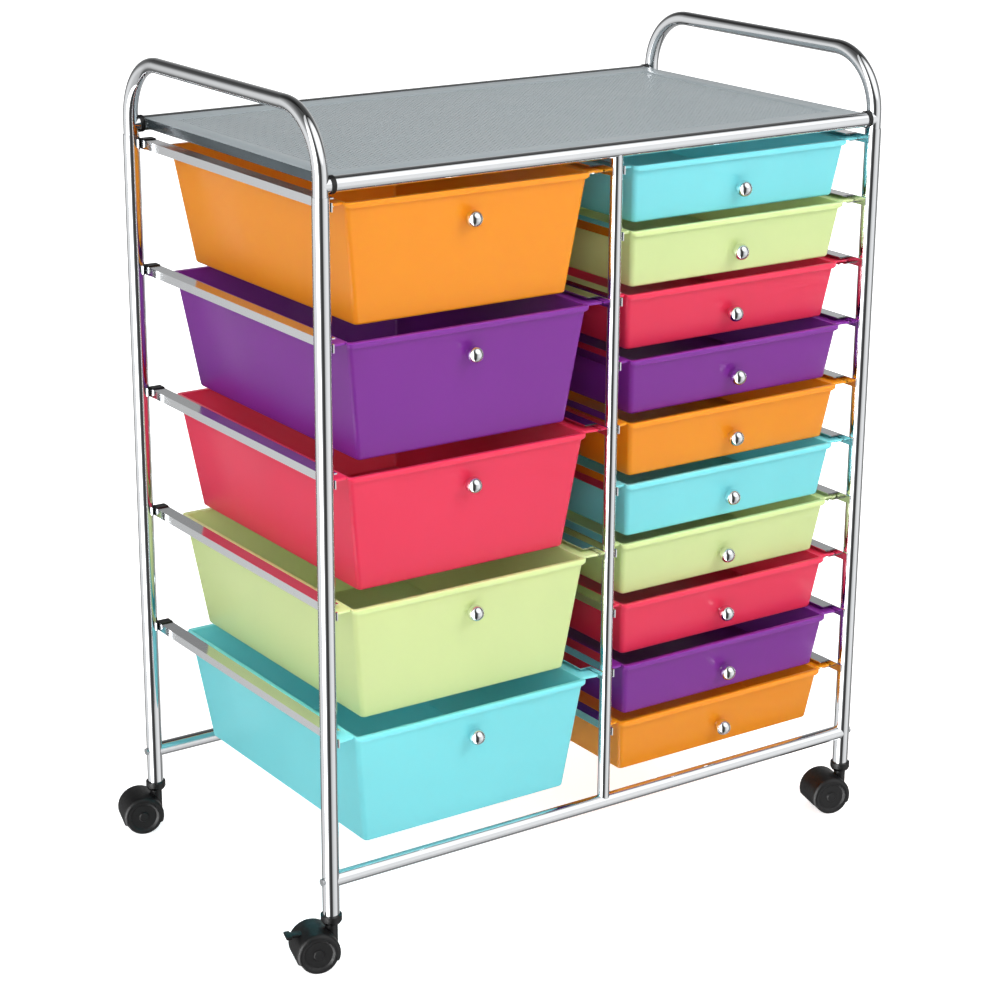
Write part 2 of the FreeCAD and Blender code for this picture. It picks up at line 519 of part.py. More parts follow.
class Drawer:
    """Sizes of one kind of drawer, as expressions."""

    def __init__(self, kind, side, pitch):
        self.kind = kind
        self.column = f"{side}{COLUMN_X}"
        self.pitch = pitch
        self.drop, self.side_taper, self.front_taper, self.rear_taper, self.knob_drop = (
            f"sizes.{kind}_{what}"
            for what in ("drop", "side_taper", "front_taper", "rear_taper", "knob_drop")
        )
        self.height = f"({self.drop} + {LIP_LOW})"
        share = f"(({self.knob_drop} + {LIP_LOW}) / {self.height})"
        self.face_y = f"(sizes.front_lip_reach + {self.front_taper} * {share})"
        self.lean = f"90 deg + atan({self.front_taper} / {self.height})"

    def corner(self, number, pull):
        """Place of drawer number, its front lip pulled out by pull."""
        front = f"-({HALF_DEPTH} - sizes.drawer_setback + {pull})"
        return front, f"{FIRST_RAIL_Z} - {self.pitch} * {number}"

    def tub_profile(self, body, z, inset, bottom):
        """Outline of the tub at a height, inset by a wall."""
        taper = "1" if bottom else "0"
        sketch = new_sketch(body, "XY_Plane", z)
        rear = f"({DRAWER_LENGTH} - sizes.rear_lip_reach)"
        rounded_rectangle(
            sketch,
            f"{TUB_HALF} - {taper} * {self.side_taper} - {inset}",
            f"sizes.front_lip_reach + {taper} * {self.front_taper} + {inset}",
            f"{rear} - {taper} * {self.rear_taper} - {inset}",
            f"sizes.tub_corner - {inset}",
        )
        return sketch

    def build(self, number, pull):
        """Tapered tub hanging from a flat lip with a skirt along its front."""
        y, z = self.corner(number, pull)
        body = new_body(f"drawer_{self.kind}_{number + 1}", self.column, y, z)
        bottom = self.tub_profile(body, f"-{self.drop}", "0", True)
        top = self.tub_profile(body, LIP_LOW, "0", False)
        loft(body, [bottom, top])
        lip = new_sketch(body, "XY_Plane", LIP_LOW)
        rounded_rectangle(lip, LIP_HALF, "0", DRAWER_LENGTH, "sizes.lip_corner")
        pad(body, lip, "sizes.lip_thickness")
        skirt = new_sketch(body, "XY_Plane", f"{LIP_LOW} - sizes.skirt_drop")
        end = f"({LIP_HALF} - sizes.lip_corner)"
        rectangle(skirt, f"-{end}", end, "0", "sizes.front_lip_reach + sizes.tub_wall / 2")
        pad(body, skirt, "sizes.skirt_drop")
        floor = self.tub_profile(body, f"sizes.tub_floor - {self.drop}", "sizes.tub_wall", True)
        mouth = self.tub_profile(body, f"{LIP_TOP} + 1", "sizes.tub_wall", False)
        loft(body, [floor, mouth], "PartDesign::SubtractiveLoft")
        hole = body.newObject("PartDesign::SubtractiveCylinder", f"{body.Name}_hole")
        hole.setExpression("Radius", "sizes.rivet_diameter / 2 + sizes.rivet_clearance")
        hole.setExpression("Height", "4 * sizes.tub_wall")
        hole.Placement.Rotation = FreeCAD.Rotation(FreeCAD.Vector(1, 0, 0), 1)
        hole.setExpression("Placement.Rotation.Angle", f"{self.lean} + 180 deg")
        hole.setExpression("Placement.Base.y", f"{self.face_y} - sizes.tub_wall")
        hole.setExpression("Placement.Base.z", f"-{self.knob_drop}")
        body.Tip = hole

    def knob(self, number, pull):
        """Ball knob square to the leaning front, riveted through it."""
        y, z = self.corner(number, pull)
        name = f"knob_{self.kind}_{number + 1}"
        body = new_body(name, self.column, f"{y} + {self.face_y}", f"{z} - {self.knob_drop}")
        turn(body, (1, 0, 0), self.lean)
        shank = new_sketch(body, "XZ_Plane")
        grip = "(sizes.tub_wall + sizes.rivet_grip)"
        foot_x, neck_x = "sizes.knob_base / 2", "sizes.knob_neck / 2"
        polygon(shank, [
            ("0", f"-{grip} - sizes.rivet_head_height"),
            ("sizes.rivet_head / 2", f"-{grip} - sizes.rivet_head_height"),
            ("sizes.rivet_head / 2", f"-{grip}"),
            ("sizes.rivet_diameter / 2", f"-{grip}"),
            ("sizes.rivet_diameter / 2", "0"),
            (foot_x, "0"),
            (foot_x, "sizes.knob_base_height"),
            (neck_x, "sizes.knob_base_height"),
            (neck_x, "sizes.knob_stand"),
            ("0", "sizes.knob_stand"),
        ])
        revolve(body, shank)
        ball = new_sketch(body, "XZ_Plane")
        radius, stand = value_of("sizes.knob_diameter / 2"), value_of("sizes.knob_stand")
        middle = FreeCAD.Vector(0, stand, 0)
        whole = Part.Circle(middle, FreeCAD.Vector(0, 0, 1), radius)
        arc = ball.addGeometry(Part.ArcOfCircle(whole, -math.pi / 2, math.pi / 2), False)
        ends = FreeCAD.Vector(0, stand + radius, 0), FreeCAD.Vector(0, stand - radius, 0)
        chord = ball.addGeometry(Part.LineSegment(*ends), False)
        ball.addConstraint(Sketcher.Constraint("Coincident", arc, 2, chord, 1))
        ball.addConstraint(Sketcher.Constraint("Coincident", chord, 2, arc, 1))
        ball.addConstraint(Sketcher.Constraint("PointOnObject", arc, 1, -2))
        ball.addConstraint(Sketcher.Constraint("PointOnObject", arc, 2, -2))
        place_point(ball, arc, 3, "0", "sizes.knob_stand")
        bind(ball, Sketcher.Constraint("Radius", arc, radius), "sizes.knob_diameter / 2")
        revolve(body, ball)


def caster_sockets():
    """Plastic bush in the foot of each post, with a cup round the tube."""
    body = new_body("caster_sockets", f"-{HALF_WIDTH}", f"-{HALF_DEPTH}", "sizes.post_foot")
    section = new_sketch(body, "XZ_Plane")
    bore = "(sizes.pin_diameter / 2 + sizes.pin_clearance)"
    cup = "(sizes.socket_diameter / 2)"
    polygon(section, [
        (bore, "-sizes.socket_base"),
        (f"{cup} - sizes.socket_taper", "-sizes.socket_base"),
        (cup, "-sizes.socket_base / 2"),
        (cup, "sizes.socket_cup"),
        ("sizes.post_diameter / 2", "sizes.socket_cup"),
        ("sizes.post_diameter / 2", "0"),
        (POST_BORE, "0"),
        (POST_BORE, "sizes.socket_plug"),
        (bore, "sizes.socket_plug"),
    ])
    bush = revolve(body, section)
    four_corners(body, [bush], "sizes.cart_width", "sizes.cart_depth")


def caster_hood(name, x, y, braked):
    """Fender, web, neck and pin of one caster, trailing towards its own -X."""
    body = new_body(name, x, y)
    turn(body, (0, 0, 1), "-sizes.caster_swing")
    axle_x = "-sizes.caster_trail"
    cover = new_sketch(body, "XZ_Plane")
    circle(cover, axle_x, WHEEL_RADIUS, HOOD_OUTER)
    circle(cover, axle_x, WHEEL_RADIUS, HOOD_INNER)
    pad(body, cover, f"2 * ({WHEEL_OUTER_FACE} + sizes.hood_side_gap)", both_ways=True)
    web = new_sketch(body, "XZ_Plane")
    circle(web, axle_x, WHEEL_RADIUS, f"{HOOD_INNER} + sizes.hood_wall / 2")
    pad(body, web, "sizes.hood_web", both_ways=True)
    below = new_sketch(body, "XZ_Plane")
    edge = f"({WHEEL_RADIUS} - sizes.hood_skirt)"
    reach = f"({HOOD_OUTER} + 1)"
    rectangle(below, f"{axle_x} - {reach}", f"{axle_x} + {reach}", f"{WHEEL_RADIUS} - {reach}", edge)
    pocket(body, below, CUT)
    bore = new_sketch(body, "XZ_Plane")
    circle(bore, axle_x, WHEEL_RADIUS, "sizes.axle_diameter / 2 + sizes.axle_clearance")
    pocket(body, bore, CUT)
    neck = new_sketch(body, "XY_Plane", WHEEL_RADIUS)
    circle(neck, "0", "0", "sizes.neck_diameter / 2")
    pad(body, neck, f"{NECK_TOP} - {WHEEL_RADIUS}")
    pin = new_sketch(body, "XY_Plane", NECK_TOP)
    circle(pin, "0", "0", "sizes.pin_diameter / 2")
    pad(body, pin, "sizes.pin_length")
    if not braked:
        return
    pivot_x = f"({axle_x} - sizes.brake_back)"
    pivot_z = f"({WHEEL_RADIUS} + sizes.brake_height)"
    slot = new_sketch(body, "XZ_Plane")
    room = "sizes.brake_barrel"
    rectangle(slot, f"{axle_x} - {reach}", f"{pivot_x} + {room}", f"{pivot_z} - {room}", NECK_TOP)
    pocket(body, slot, "sizes.brake_slot")
    pivot = new_sketch(body, "XZ_Plane")
    circle(pivot, pivot_x, pivot_z, "sizes.brake_pin / 2 + sizes.axle_clearance")
    pocket(body, pivot, "sizes.brake_pin_length + 2 * sizes.brake_gap")


def caster_wheels(name, x, y):
    """Two dished wheels and the axle that joins them."""
    body = new_body(
        name,
        f"{x} - sizes.caster_trail * cos(sizes.caster_swing * 1 deg)",
        f"{y} + sizes.caster_trail * sin(sizes.caster_swing * 1 deg)",
        WHEEL_RADIUS,
    )
    turn(body, (0, 0, 1), "-sizes.caster_swing")
    section = new_sketch(body, "XY_Plane")
    face, dish = WHEEL_OUTER_FACE, f"({WHEEL_OUTER_FACE} - sizes.wheel_dish)"
    hub_face = f"({face} - sizes.wheel_dish / 4)"
    bore = "(sizes.axle_diameter / 2 + sizes.axle_clearance)"
    bed = f"({WHEEL_RADIUS} - sizes.wheel_rim)"
    edge = "sizes.tread_chamfer"
    wheel = [
        (bore, hub_face),
        ("sizes.wheel_hub / 2", hub_face),
        ("sizes.wheel_hub / 2", dish),
        (bed, dish),
        (f"{bed} + sizes.wheel_dish / 2", face),
        (f"{WHEEL_RADIUS} - {edge}", face),
        (WHEEL_RADIUS, f"{face} - {edge}"),
        (WHEEL_RADIUS, f"{WHEEL_INNER_FACE} + {edge}"),
        (f"{WHEEL_RADIUS} - {edge}", WHEEL_INNER_FACE),
        (bore, WHEEL_INNER_FACE),
    ]
    polygon(section, wheel)
    polygon(section, [(radius, f"-({along})") for radius, along in reversed(wheel)])
    axle = "(sizes.axle_diameter / 2)"
    polygon(section, [("0", f"-{hub_face}"), (axle, f"-{hub_face}"), (axle, hub_face), ("0", hub_face)])
    revolve(body, section)


def brake_lever(name, x, y):
    """Pedal, arm, barrel and pivot pin of a caster's brake."""
    body = new_body(name, x, y)
    turn(body, (0, 0, 1), "-sizes.caster_swing")
    pivot_x = "(-sizes.caster_trail - sizes.brake_back)"
    pivot_z = f"({WHEEL_RADIUS} + sizes.brake_height)"
    width = "(sizes.brake_slot - 2 * sizes.brake_gap)"
    barrel = new_sketch(body, "XZ_Plane")
    circle(barrel, pivot_x, pivot_z, "sizes.brake_barrel / 2")
    pad(body, barrel, width, both_ways=True)
    arm = new_sketch(body, "XZ_Plane")
    plate = "sizes.brake_plate / 2"
    end = f"{pivot_x} - sizes.brake_reach"
    rectangle(arm, end, pivot_x, f"{pivot_z} - {plate}", f"{pivot_z} + {plate}")
    pad(body, arm, width, both_ways=True)
    pedal = new_sketch(body, "XZ_Plane")
    rectangle(pedal, end, f"{end} + sizes.pedal_length", f"{pivot_z} - {plate}", f"{pivot_z} + {plate}")
    pad(body, pedal, "sizes.pedal_width", both_ways=True)
    pin = new_sketch(body, "XZ_Plane")
    circle(pin, pivot_x, pivot_z, "sizes.brake_pin / 2")
    pad(body, pin, "sizes.brake_pin_length", both_ways=True)


def build():
    """Build every sub-part of the cart."""
    left, right = f"-{HALF_WIDTH}", HALF_WIDTH
    front, rear = f"-{HALF_DEPTH}", HALF_DEPTH
    corners = {
        "front_left": (left, front),
        "rear_left": (left, rear),
        "front_right": (right, front),
        "rear_right": (right, rear),
    }
    for place, (x, y) in corners.items():
        corner_post(f"post_{place}", x, y)
    for place, y in (("front", front), ("rear", rear)):
        centre_post(f"post_{place}_centre", y)
        cross_bar(f"bottom_bar_{place}", y, BOTTOM_BAR_Z, "sizes.post_diameter / 2", True)
        cross_bar(f"top_bar_{place}", y, TOP_BAR_Z, POST_BORE, False)
    handle("handle_left", left)
    handle("handle_right", right)
    top_tray()
    bar_end_rings()
    frame_screws()

    deep_pitch, shallow_pitch = "(2 * sizes.rail_pitch)", "sizes.rail_pitch"
    stacks = {
        "rails_left": (f"-{OUTER_WEB_X}", "1", deep_pitch, "sizes.deep_count"),
        "rails_centre_left": (f"-{INNER_WEB_X}", "-1", deep_pitch, "sizes.deep_count"),
        "rails_centre_right": (INNER_WEB_X, "1", shallow_pitch, "sizes.shallow_count"),
        "rails_right": (OUTER_WEB_X, "-1", shallow_pitch, "sizes.shallow_count"),
    }
    for name, stack in stacks.items():
        rail_stack(name, *stack)
    rail_end_stops(stacks.values())

    deep = Drawer("deep", "-", deep_pitch)
    shallow = Drawer("shallow", "", shallow_pitch)
    for drawer, pulls, count in (
        (deep, DEEP_PULLS, "sizes.deep_count"),
        (shallow, SHALLOW_PULLS, "sizes.shallow_count"),
    ):
        for number in range(int(value_of(count))):
            pull = pulls[number % len(pulls)]
            drawer.build(number, pull)
            drawer.knob(number, pull)

    caster_sockets()
    for place, (x, y) in corners.items():
        braked = place == "front_left"
        caster_hood(f"caster_hood_{place}", x, y, braked)
        caster_wheels(f"caster_wheels_{place}", x, y)
        if braked:
            brake_lever(f"brake_lever_{place}", x, y)


def check_and_export():
    """Recompute, refuse anything broken and write each sub-part's STEP file."""
    doc.recompute()
    for item in doc.Objects:
        if {"Invalid", "Error"} & set(item.State):
            raise RuntimeError(f"{item.Name} did not compute: {item.State}")
    for node in nodes:
        if node.Shape.isNull() or not node.Shape.isValid():
            raise RuntimeError(f"{node.Label} has no valid shape")
    for node in nodes:
        node.Shape.exportStep(f"parts/{node.Label}.step")
        print(f"{node.Label}: {len(node.Shape.Solids)} solids, {node.Shape.Volume / 1000:.2f} cm3")


build()
check_and_export()
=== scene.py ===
"""Rolling craft cart: moulded drawers, chrome tubes and a perforated tray, dressed for rendering.

Metres, in the frame of the construction: +X is the cart's right, the drawers open towards -Y.
"""
from __future__ import annotations

import logging
import math
from collections.abc import Callable, Iterable
from dataclasses import dataclass
from enum import Enum

import bmesh
import bpy
from bpy.types import Material, MeshPolygon, Node, NodeSocket, NodeTree, Object, World
from mathutils import Matrix, Vector


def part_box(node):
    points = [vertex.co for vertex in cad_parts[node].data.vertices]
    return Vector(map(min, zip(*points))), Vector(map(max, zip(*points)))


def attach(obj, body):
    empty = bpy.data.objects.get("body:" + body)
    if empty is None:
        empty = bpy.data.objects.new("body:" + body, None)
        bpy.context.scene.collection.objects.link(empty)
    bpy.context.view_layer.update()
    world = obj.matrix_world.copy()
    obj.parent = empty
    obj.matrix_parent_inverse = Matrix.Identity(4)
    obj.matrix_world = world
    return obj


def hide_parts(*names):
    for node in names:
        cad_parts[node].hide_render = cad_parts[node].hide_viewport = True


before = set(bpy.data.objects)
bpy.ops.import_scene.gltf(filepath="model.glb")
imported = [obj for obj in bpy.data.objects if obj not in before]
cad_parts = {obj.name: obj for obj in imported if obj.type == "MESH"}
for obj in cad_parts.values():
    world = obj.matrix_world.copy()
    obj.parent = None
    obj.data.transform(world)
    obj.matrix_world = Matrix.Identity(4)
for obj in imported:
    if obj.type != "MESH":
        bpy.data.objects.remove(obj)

log = logging.getLogger("cart")

MM = 0.001
SAME_PLACE = 0.02 * MM
EDGE_ANGLE = math.radians(35)
NOISE_SPAN = (0.3, 0.7)
PATCH_DETAIL = 3.0
GRAIN_DETAIL = 2.0

Test = Callable[[Vector], bool]
Point = tuple[float, float]


class Colour(Enum):
    """Drawer colours, as the sRGB hex code of the dyed plastic."""

    ORANGE = "#FF9016"
    PURPLE = "#7A2892"
    RED = "#EA3456"
    LIME = "#CFE69C"
    AQUA = "#7CDCE8"


class Element(Enum):
    """What an edit-mode selection picks."""

    VERTEX = "VERT"
    EDGE = "EDGE"
    FACE = "FACE"


# Finishes


def linear(code: str) -> tuple[float, float, float, float]:
    """Turn an sRGB hex code into linear colour.

    Args:
        code: Six hex digits after a hash.

    Returns:
        Linear red, green and blue, and an alpha of 1.
    """
    shares = [int(code[i : i + 2], 16) / 255 for i in (1, 3, 5)]
    curved = [s / 12.92 if s <= 0.04045 else ((s + 0.055) / 1.055) ** 2.4 for s in shares]
    return (*curved, 1.0)


def add_node(
    tree: NodeTree,
    kind: str,
    settings: dict[str, object] | None = None,
    **inputs: object,
) -> Node:
    """Add a shader node with its settings, values and links.

    Args:
        tree: The node tree.
        kind: The node's type, without the "ShaderNode" in front.
        settings: The node's own properties.
        **inputs: A value or an output socket for each input, with _ for a space, or
            in_0, in_1 and so on for an input by its place.

    Returns:
        The new node.
    """
    node = tree.nodes.new("ShaderNode" + kind)
    for name, value in (settings or {}).items():
        setattr(node, name, value)
    for name, value in inputs.items():
        place = int(name[3:]) if name.startswith("in_") else name.replace("_", " ")
        if isinstance(value, NodeSocket):
            tree.links.new(value, node.inputs[place])
        else:
            node.inputs[place].default_value = value
    return node


def empty_tree(owner: Material | World) -> NodeTree:
    """Empty the node tree of a material or a world.

    Args:
        owner: The material or world.

    Returns:
        Its node tree.
    """
    owner.use_nodes = True
    owner.node_tree.nodes.clear()
    return owner.node_tree


def per_metre(size_mm: float) -> float:
    """Return the texture scale at which one feature is this many millimetres wide."""
    return 1 / (size_mm * MM)


@dataclass(frozen=True)
class Variation:
    """Noise that moves a colour and a roughness about their middle values.

    Attributes:
        size_mm: Width of one patch.
        tone: Change of colour each way, as a share of the colour.
        roughness: Change of roughness each way.
        stretch: How much longer a patch is along Z.
    """

    size_mm: float
    tone: float
    roughness: float
    stretch: float = 1.0

    def apply(self, tree: NodeTree, shader: Node, code: str, rough: float) -> None:
        """Link the noise to a shader's base colour and roughness.

        Args:
            tree: The material's node tree.
            shader: The principled shader.
            code: The middle colour.
            rough: The middle roughness.
        """
        coords = add_node(tree, "TexCoord").outputs["Object"]
        stretch = (1, 1, 1 / self.stretch)
        placed = add_node(tree, "Mapping", Vector=coords, Scale=stretch).outputs["Vector"]
        size = per_metre(self.size_mm)
        noise = add_node(tree, "TexNoise", Vector=placed, Scale=size, Detail=PATCH_DETAIL).outputs["Fac"]
        colour = linear(code)[:3]
        dark = (*(c * (1 - self.tone) for c in colour), 1.0)
        light = (*(min(1.0, c * (1 + self.tone)) for c in colour), 1.0)
        mixed = add_node(tree, "Mix", {"data_type": "RGBA"}, in_0=noise, in_6=dark, in_7=light)
        ranged = add_node(
            tree,
            "MapRange",
            Value=noise,
            From_Min=NOISE_SPAN[0],
            From_Max=NOISE_SPAN[1],
            To_Min=rough - self.roughness,
            To_Max=rough + self.roughness,
        )
        tree.links.new(mixed.outputs[2], shader.inputs["Base Color"])
        tree.links.new(ranged.outputs["Result"], shader.inputs["Roughness"])


@dataclass(frozen=True)
class Texture:
    """A fine relief over a whole surface.

    Attributes:
        size_mm: Width of one grain.
        depth_mm: Height of the grains.
        strength: How much of the relief the shader shows.
    """

    size_mm: float
    depth_mm: float
    strength: float

    def apply(self, tree: NodeTree, shader: Node) -> None:
        """Link the relief to a shader's normal.

        Args:
            tree: The material's node tree.
            shader: The principled shader.
        """
        coords = add_node(tree, "TexCoord").outputs["Object"]
        size = per_metre(self.size_mm)
        grain = add_node(tree, "TexNoise", Vector=coords, Scale=size, Detail=GRAIN_DETAIL).outputs["Fac"]
        depth = self.depth_mm * MM
        bump = add_node(tree, "Bump", Height=grain, Distance=depth, Strength=self.strength)
        tree.links.new(bump.outputs["Normal"], shader.inputs["Normal"])


@dataclass(frozen=True)
class Finish:
    """One surface finish.

    Attributes:
        name: The real material and how its surface was made.
        code: Its colour.
        metallic: 1 for bare metal, 0 for plastic and paint.
        roughness: Its middle roughness.
        variation: Patches of tone and roughness.
        texture: Its fine relief.
        ior: Index of refraction of a plastic or paint.
        scatter: Share of light that scatters inside it.
        scatter_mm: How far that light travels.
    """

    name: str
    code: str
    metallic: float
    roughness: float
    variation: Variation
    texture: Texture
    ior: float = 1.5
    scatter: float = 0.0
    scatter_mm: float = 1.0

    def build(self) -> Material:
        """Make the material with its patches and its relief.

        Returns:
            The material.
        """
        material = bpy.data.materials.new(self.name)
        tree = empty_tree(material)
        shader = add_node(
            tree,
            "BsdfPrincipled",
            Metallic=self.metallic,
            IOR=self.ior,
            Subsurface_Weight=self.scatter,
            Subsurface_Scale=self.scatter_mm * MM,
            Subsurface_Radius=(1, 1, 1),
        )
        add_node(tree, "OutputMaterial", Surface=shader.outputs["BSDF"])
        self.variation.apply(tree, shader, self.code, self.roughness)
        self.texture.apply(tree, shader)
        return material


# Bright nickel-chrome plate on steel tube: mirror-like, with a faint haze along the tube.
CHROME_TUBE = Finish(
    "chrome_plated_tube", "#E4E6E8", 1.0, 0.04, Variation(18, 0.03, 0.02, 6), Texture(9, 0.02, 0.15)
)
# Chrome plate on roll-folded strip: the same plate, less flat, so its reflections are softer.
CHROME_STRIP = Finish(
    "chrome_plated_strip", "#DEE0E2", 1.0, 0.14, Variation(12, 0.04, 0.04), Texture(5, 0.03, 0.2)
)
# Barrel-plated die casting: chrome with a very smooth skin.
CHROME_CASTING = Finish(
    "chrome_plated_casting", "#E8EAEC", 1.0, 0.05, Variation(4, 0.02, 0.02), Texture(3, 0.01, 0.1)
)
# Bright zinc plate: greyer and duller than chrome.
ZINC_PLATE = Finish(
    "zinc_plated_screw", "#B9BCBE", 1.0, 0.3, Variation(1.5, 0.08, 0.06), Texture(0.6, 0.02, 0.3)
)
# Silver-grey powder coat on punched sheet: satin, with a fine orange peel.
POWDER_COAT = Finish(
    "silver_powder_coat", "#9DA6AA", 0.25, 0.34, Variation(30, 0.05, 0.05), Texture(0.9, 0.03, 0.35)
)
# The same sheet where it is folded down, glossier and in a darker colour: painted shade under the tray's
# edge and painted dark reflections.
FLANGE_PAINTED_SHADE = Finish(
    "flange_painted_shade", "#4E585D", 0.6, 0.2, Variation(40, 0.25, 0.05), Texture(0.9, 0.02, 0.2)
)
# Injection-moulded black nylon: satin, slightly mottled, with a spark-eroded grain.
BLACK_NYLON = Finish(
    "moulded_black_nylon", "#0B0B0C", 0.0, 0.45, Variation(3, 0.2, 0.08), Texture(0.35, 0.03, 0.5)
)
# The same nylon where it is turned and worn by rolling: a little greyer.
WHEEL_NYLON = Finish(
    "rolled_black_nylon", "#101011", 0.0, 0.5, Variation(2.2, 0.25, 0.1), Texture(0.5, 0.05, 0.5)
)


def polypropylene(colour: Colour) -> Finish:
    """Injection-moulded polypropylene: a waxy sheen, soft shadows and faint flow marks.

    Args:
        colour: The dye.

    Returns:
        The finish.
    """
    name = f"moulded_polypropylene_{colour.name.lower()}"
    marks, grain = Variation(60, 0.04, 0.03, 2.5), Texture(0.6, 0.02, 0.2)
    return Finish(name, colour.value, 0.0, 0.32, marks, grain, ior=1.49, scatter=0.7, scatter_mm=8.0)


# Modelling helpers


def clear_selection() -> None:
    """Go back to object mode with nothing selected."""
    if bpy.context.object is not None and bpy.context.object.mode != "OBJECT":
        bpy.ops.object.mode_set(mode="OBJECT")
    bpy.ops.object.select_all(action="DESELECT")


def activate(piece: Object) -> None:
    """Make a piece the only selected one and the active one.

    Args:
        piece: The piece.
    """
    clear_selection()
    piece.select_set(True)
    bpy.context.view_layer.objects.active = piece


def settle(piece: Object) -> None:
    """Put a piece's place, turn and size into its mesh."""
    activate(piece)
    bpy.ops.object.transform_apply(location=True, rotation=True, scale=True)


def edit(piece: Object, element: Element) -> None:
    """Open a piece in edit mode with nothing selected.

    Args:
        piece: The piece.
        element: What is to be selected next.
    """
    activate(piece)
    bpy.ops.object.mode_set(mode="EDIT")
    bpy.ops.mesh.select_mode(type=element.value)
    bpy.ops.mesh.select_all(action="DESELECT")


def select_all() -> None:
    """Select everything in edit mode."""
    bpy.ops.mesh.select_all(action="SELECT")


def close() -> None:
    """Leave edit mode."""
    bpy.ops.object.mode_set(mode="OBJECT")


def pick(piece: Object, element: Element, test: Test) -> None:
    """Select the elements whose corners and middle all pass a test.

    Args:
        piece: The piece, in edit mode.
        element: What to select.
        test: Tells whether a place passes.
    """
    bpy.ops.mesh.select_mode(type=element.value)
    bpy.ops.mesh.select_all(action="DESELECT")
    mesh = bmesh.from_edit_mesh(piece.data)
    mesh.select_mode = {element.value}
    if element is Element.VERTEX:
        chosen = [v for v in mesh.verts if test(v.co)]
    else:
        items: Iterable = mesh.edges if element is Element.EDGE else mesh.faces
        chosen = []
        for item in items:
            corners = [v.co for v in item.verts]
            if all(test(spot) for spot in (*corners, sum(corners, Vector()) / len(corners))):
                chosen.append(item)
    for item in chosen:
        item.select_set(True)
    mesh.select_flush_mode()
    bmesh.update_edit_mesh(piece.data)


def add_block(name: str, low: Vector, high: Vector) -> Object:
    """Add a box between two corners.

    Args:
        name: The piece's name.
        low: Its lowest corner.
        high: Its highest corner.

    Returns:
        The new piece.
    """
    clear_selection()
    bpy.ops.mesh.primitive_cube_add(size=1.0, location=(low + high) / 2)
    block = bpy.context.object
    block.name = name
    block.scale = high - low
    settle(block)
    return block


def add_disc(name: str, radius: float, width: float, x: float, z: float, sides: int) -> Object:
    """Add a cylinder that lies along Y.

    Args:
        name: The piece's name.
        radius: Its radius.
        width: Its length along Y, centred on y = 0.
        x: Its axis in X.
        z: Its axis in Z.
        sides: How many flats go round it.

    Returns:
        The new piece.
    """
    clear_selection()
    bpy.ops.mesh.primitive_cylinder_add(
        vertices=sides, radius=radius, depth=width, location=(x, 0, z), rotation=(math.pi / 2, 0, 0)
    )
    disc = bpy.context.object
    disc.name = name
    settle(disc)
    return disc


def spin_profile(name: str, profile: list[Point], steps: int) -> Object:
    """Turn a profile of radius and height about Z.

    Args:
        name: The piece's name.
        profile: Radius and height of each point, from one end of the axis to the other.
        steps: How many flats go round it.

    Returns:
        The new piece.
    """
    clear_selection()
    bpy.ops.mesh.primitive_plane_add(size=MM)
    piece = bpy.context.object
    piece.name = name
    bpy.ops.object.mode_set(mode="EDIT")
    bpy.ops.mesh.select_mode(type="VERT")
    select_all()
    bpy.ops.mesh.merge(type="CENTER")
    radius, height = profile[0]
    bpy.ops.transform.translate(value=(radius, 0, height))
    for next_radius, next_height in profile[1:]:
        step = (next_radius - radius, 0, next_height - height)
        bpy.ops.mesh.extrude_region_move(TRANSFORM_OT_translate={"value": step})
        radius, height = next_radius, next_height
    select_all()
    bpy.ops.mesh.spin(steps=steps, angle=2 * math.pi, center=(0, 0, 0), axis=(0, 0, 1))
    select_all()
    bpy.ops.mesh.remove_doubles(threshold=SAME_PLACE)
    bpy.ops.mesh.normals_make_consistent(inside=False)
    close()
    return piece


def arc(centre: Point, radius: float, start: float, end: float, steps: int) -> list[Point]:
    """Return points of an arc in a profile.

    Args:
        centre: Radius and height of the arc's middle.
        radius: The arc's own radius.
        start: Its first angle in degrees, 0 pointing outwards and 90 up.
        end: Its last angle in degrees.
        steps: How many chords it has.

    Returns:
        Its points, both ends included.
    """
    points = []
    for i in range(steps + 1):
        angle = math.radians(start + (end - start) * i / steps)
        out = max(0.0, centre[0] + radius * math.cos(angle))
        points.append((out, centre[1] + radius * math.sin(angle)))
    return points


def face_outwards(piece: Object, score: Callable[[MeshPolygon], float]) -> None:
    """Turn an open shell's faces to its outer side.

    Args:
        piece: The shell.
        score: What each face says for the way it points now, above zero for outwards.
    """
    edit(piece, Element.FACE)
    select_all()
    bpy.ops.mesh.normals_make_consistent(inside=False)
    close()
    if sum(score(face) * face.area for face in piece.data.polygons) < 0:
        piece.data.flip_normals()


def modify(piece: Object, kind: str, **settings: object) -> None:
    """Give a piece a modifier and apply it.

    Args:
        piece: The piece.
        kind: The modifier's type.
        **settings: Its properties.
    """
    activate(piece)
    bpy.ops.object.modifier_add(type=kind)
    modifier = piece.modifiers[-1]
    for name, value in settings.items():
        setattr(modifier, name, value)
    bpy.ops.object.modifier_apply(modifier=modifier.name)


def thicken(piece: Object, wall: float) -> None:
    """Give an open shell a wall on the inner side of its faces."""
    modify(piece, "SOLIDIFY", thickness=wall, offset=-1, use_even_offset=True)


def shade_smooth(piece: Object) -> None:
    """Shade a piece smooth, except over its sharp edges."""
    activate(piece)
    bpy.ops.object.shade_smooth_by_angle(angle=EDGE_ANGLE)


def round_edges(piece: Object, width: float) -> None:
    """Round a piece's sharp edges with two flats and shade it smooth."""
    modify(piece, "BEVEL", width=width, segments=2, limit_method="ANGLE", angle_limit=EDGE_ANGLE)
    shade_smooth(piece)


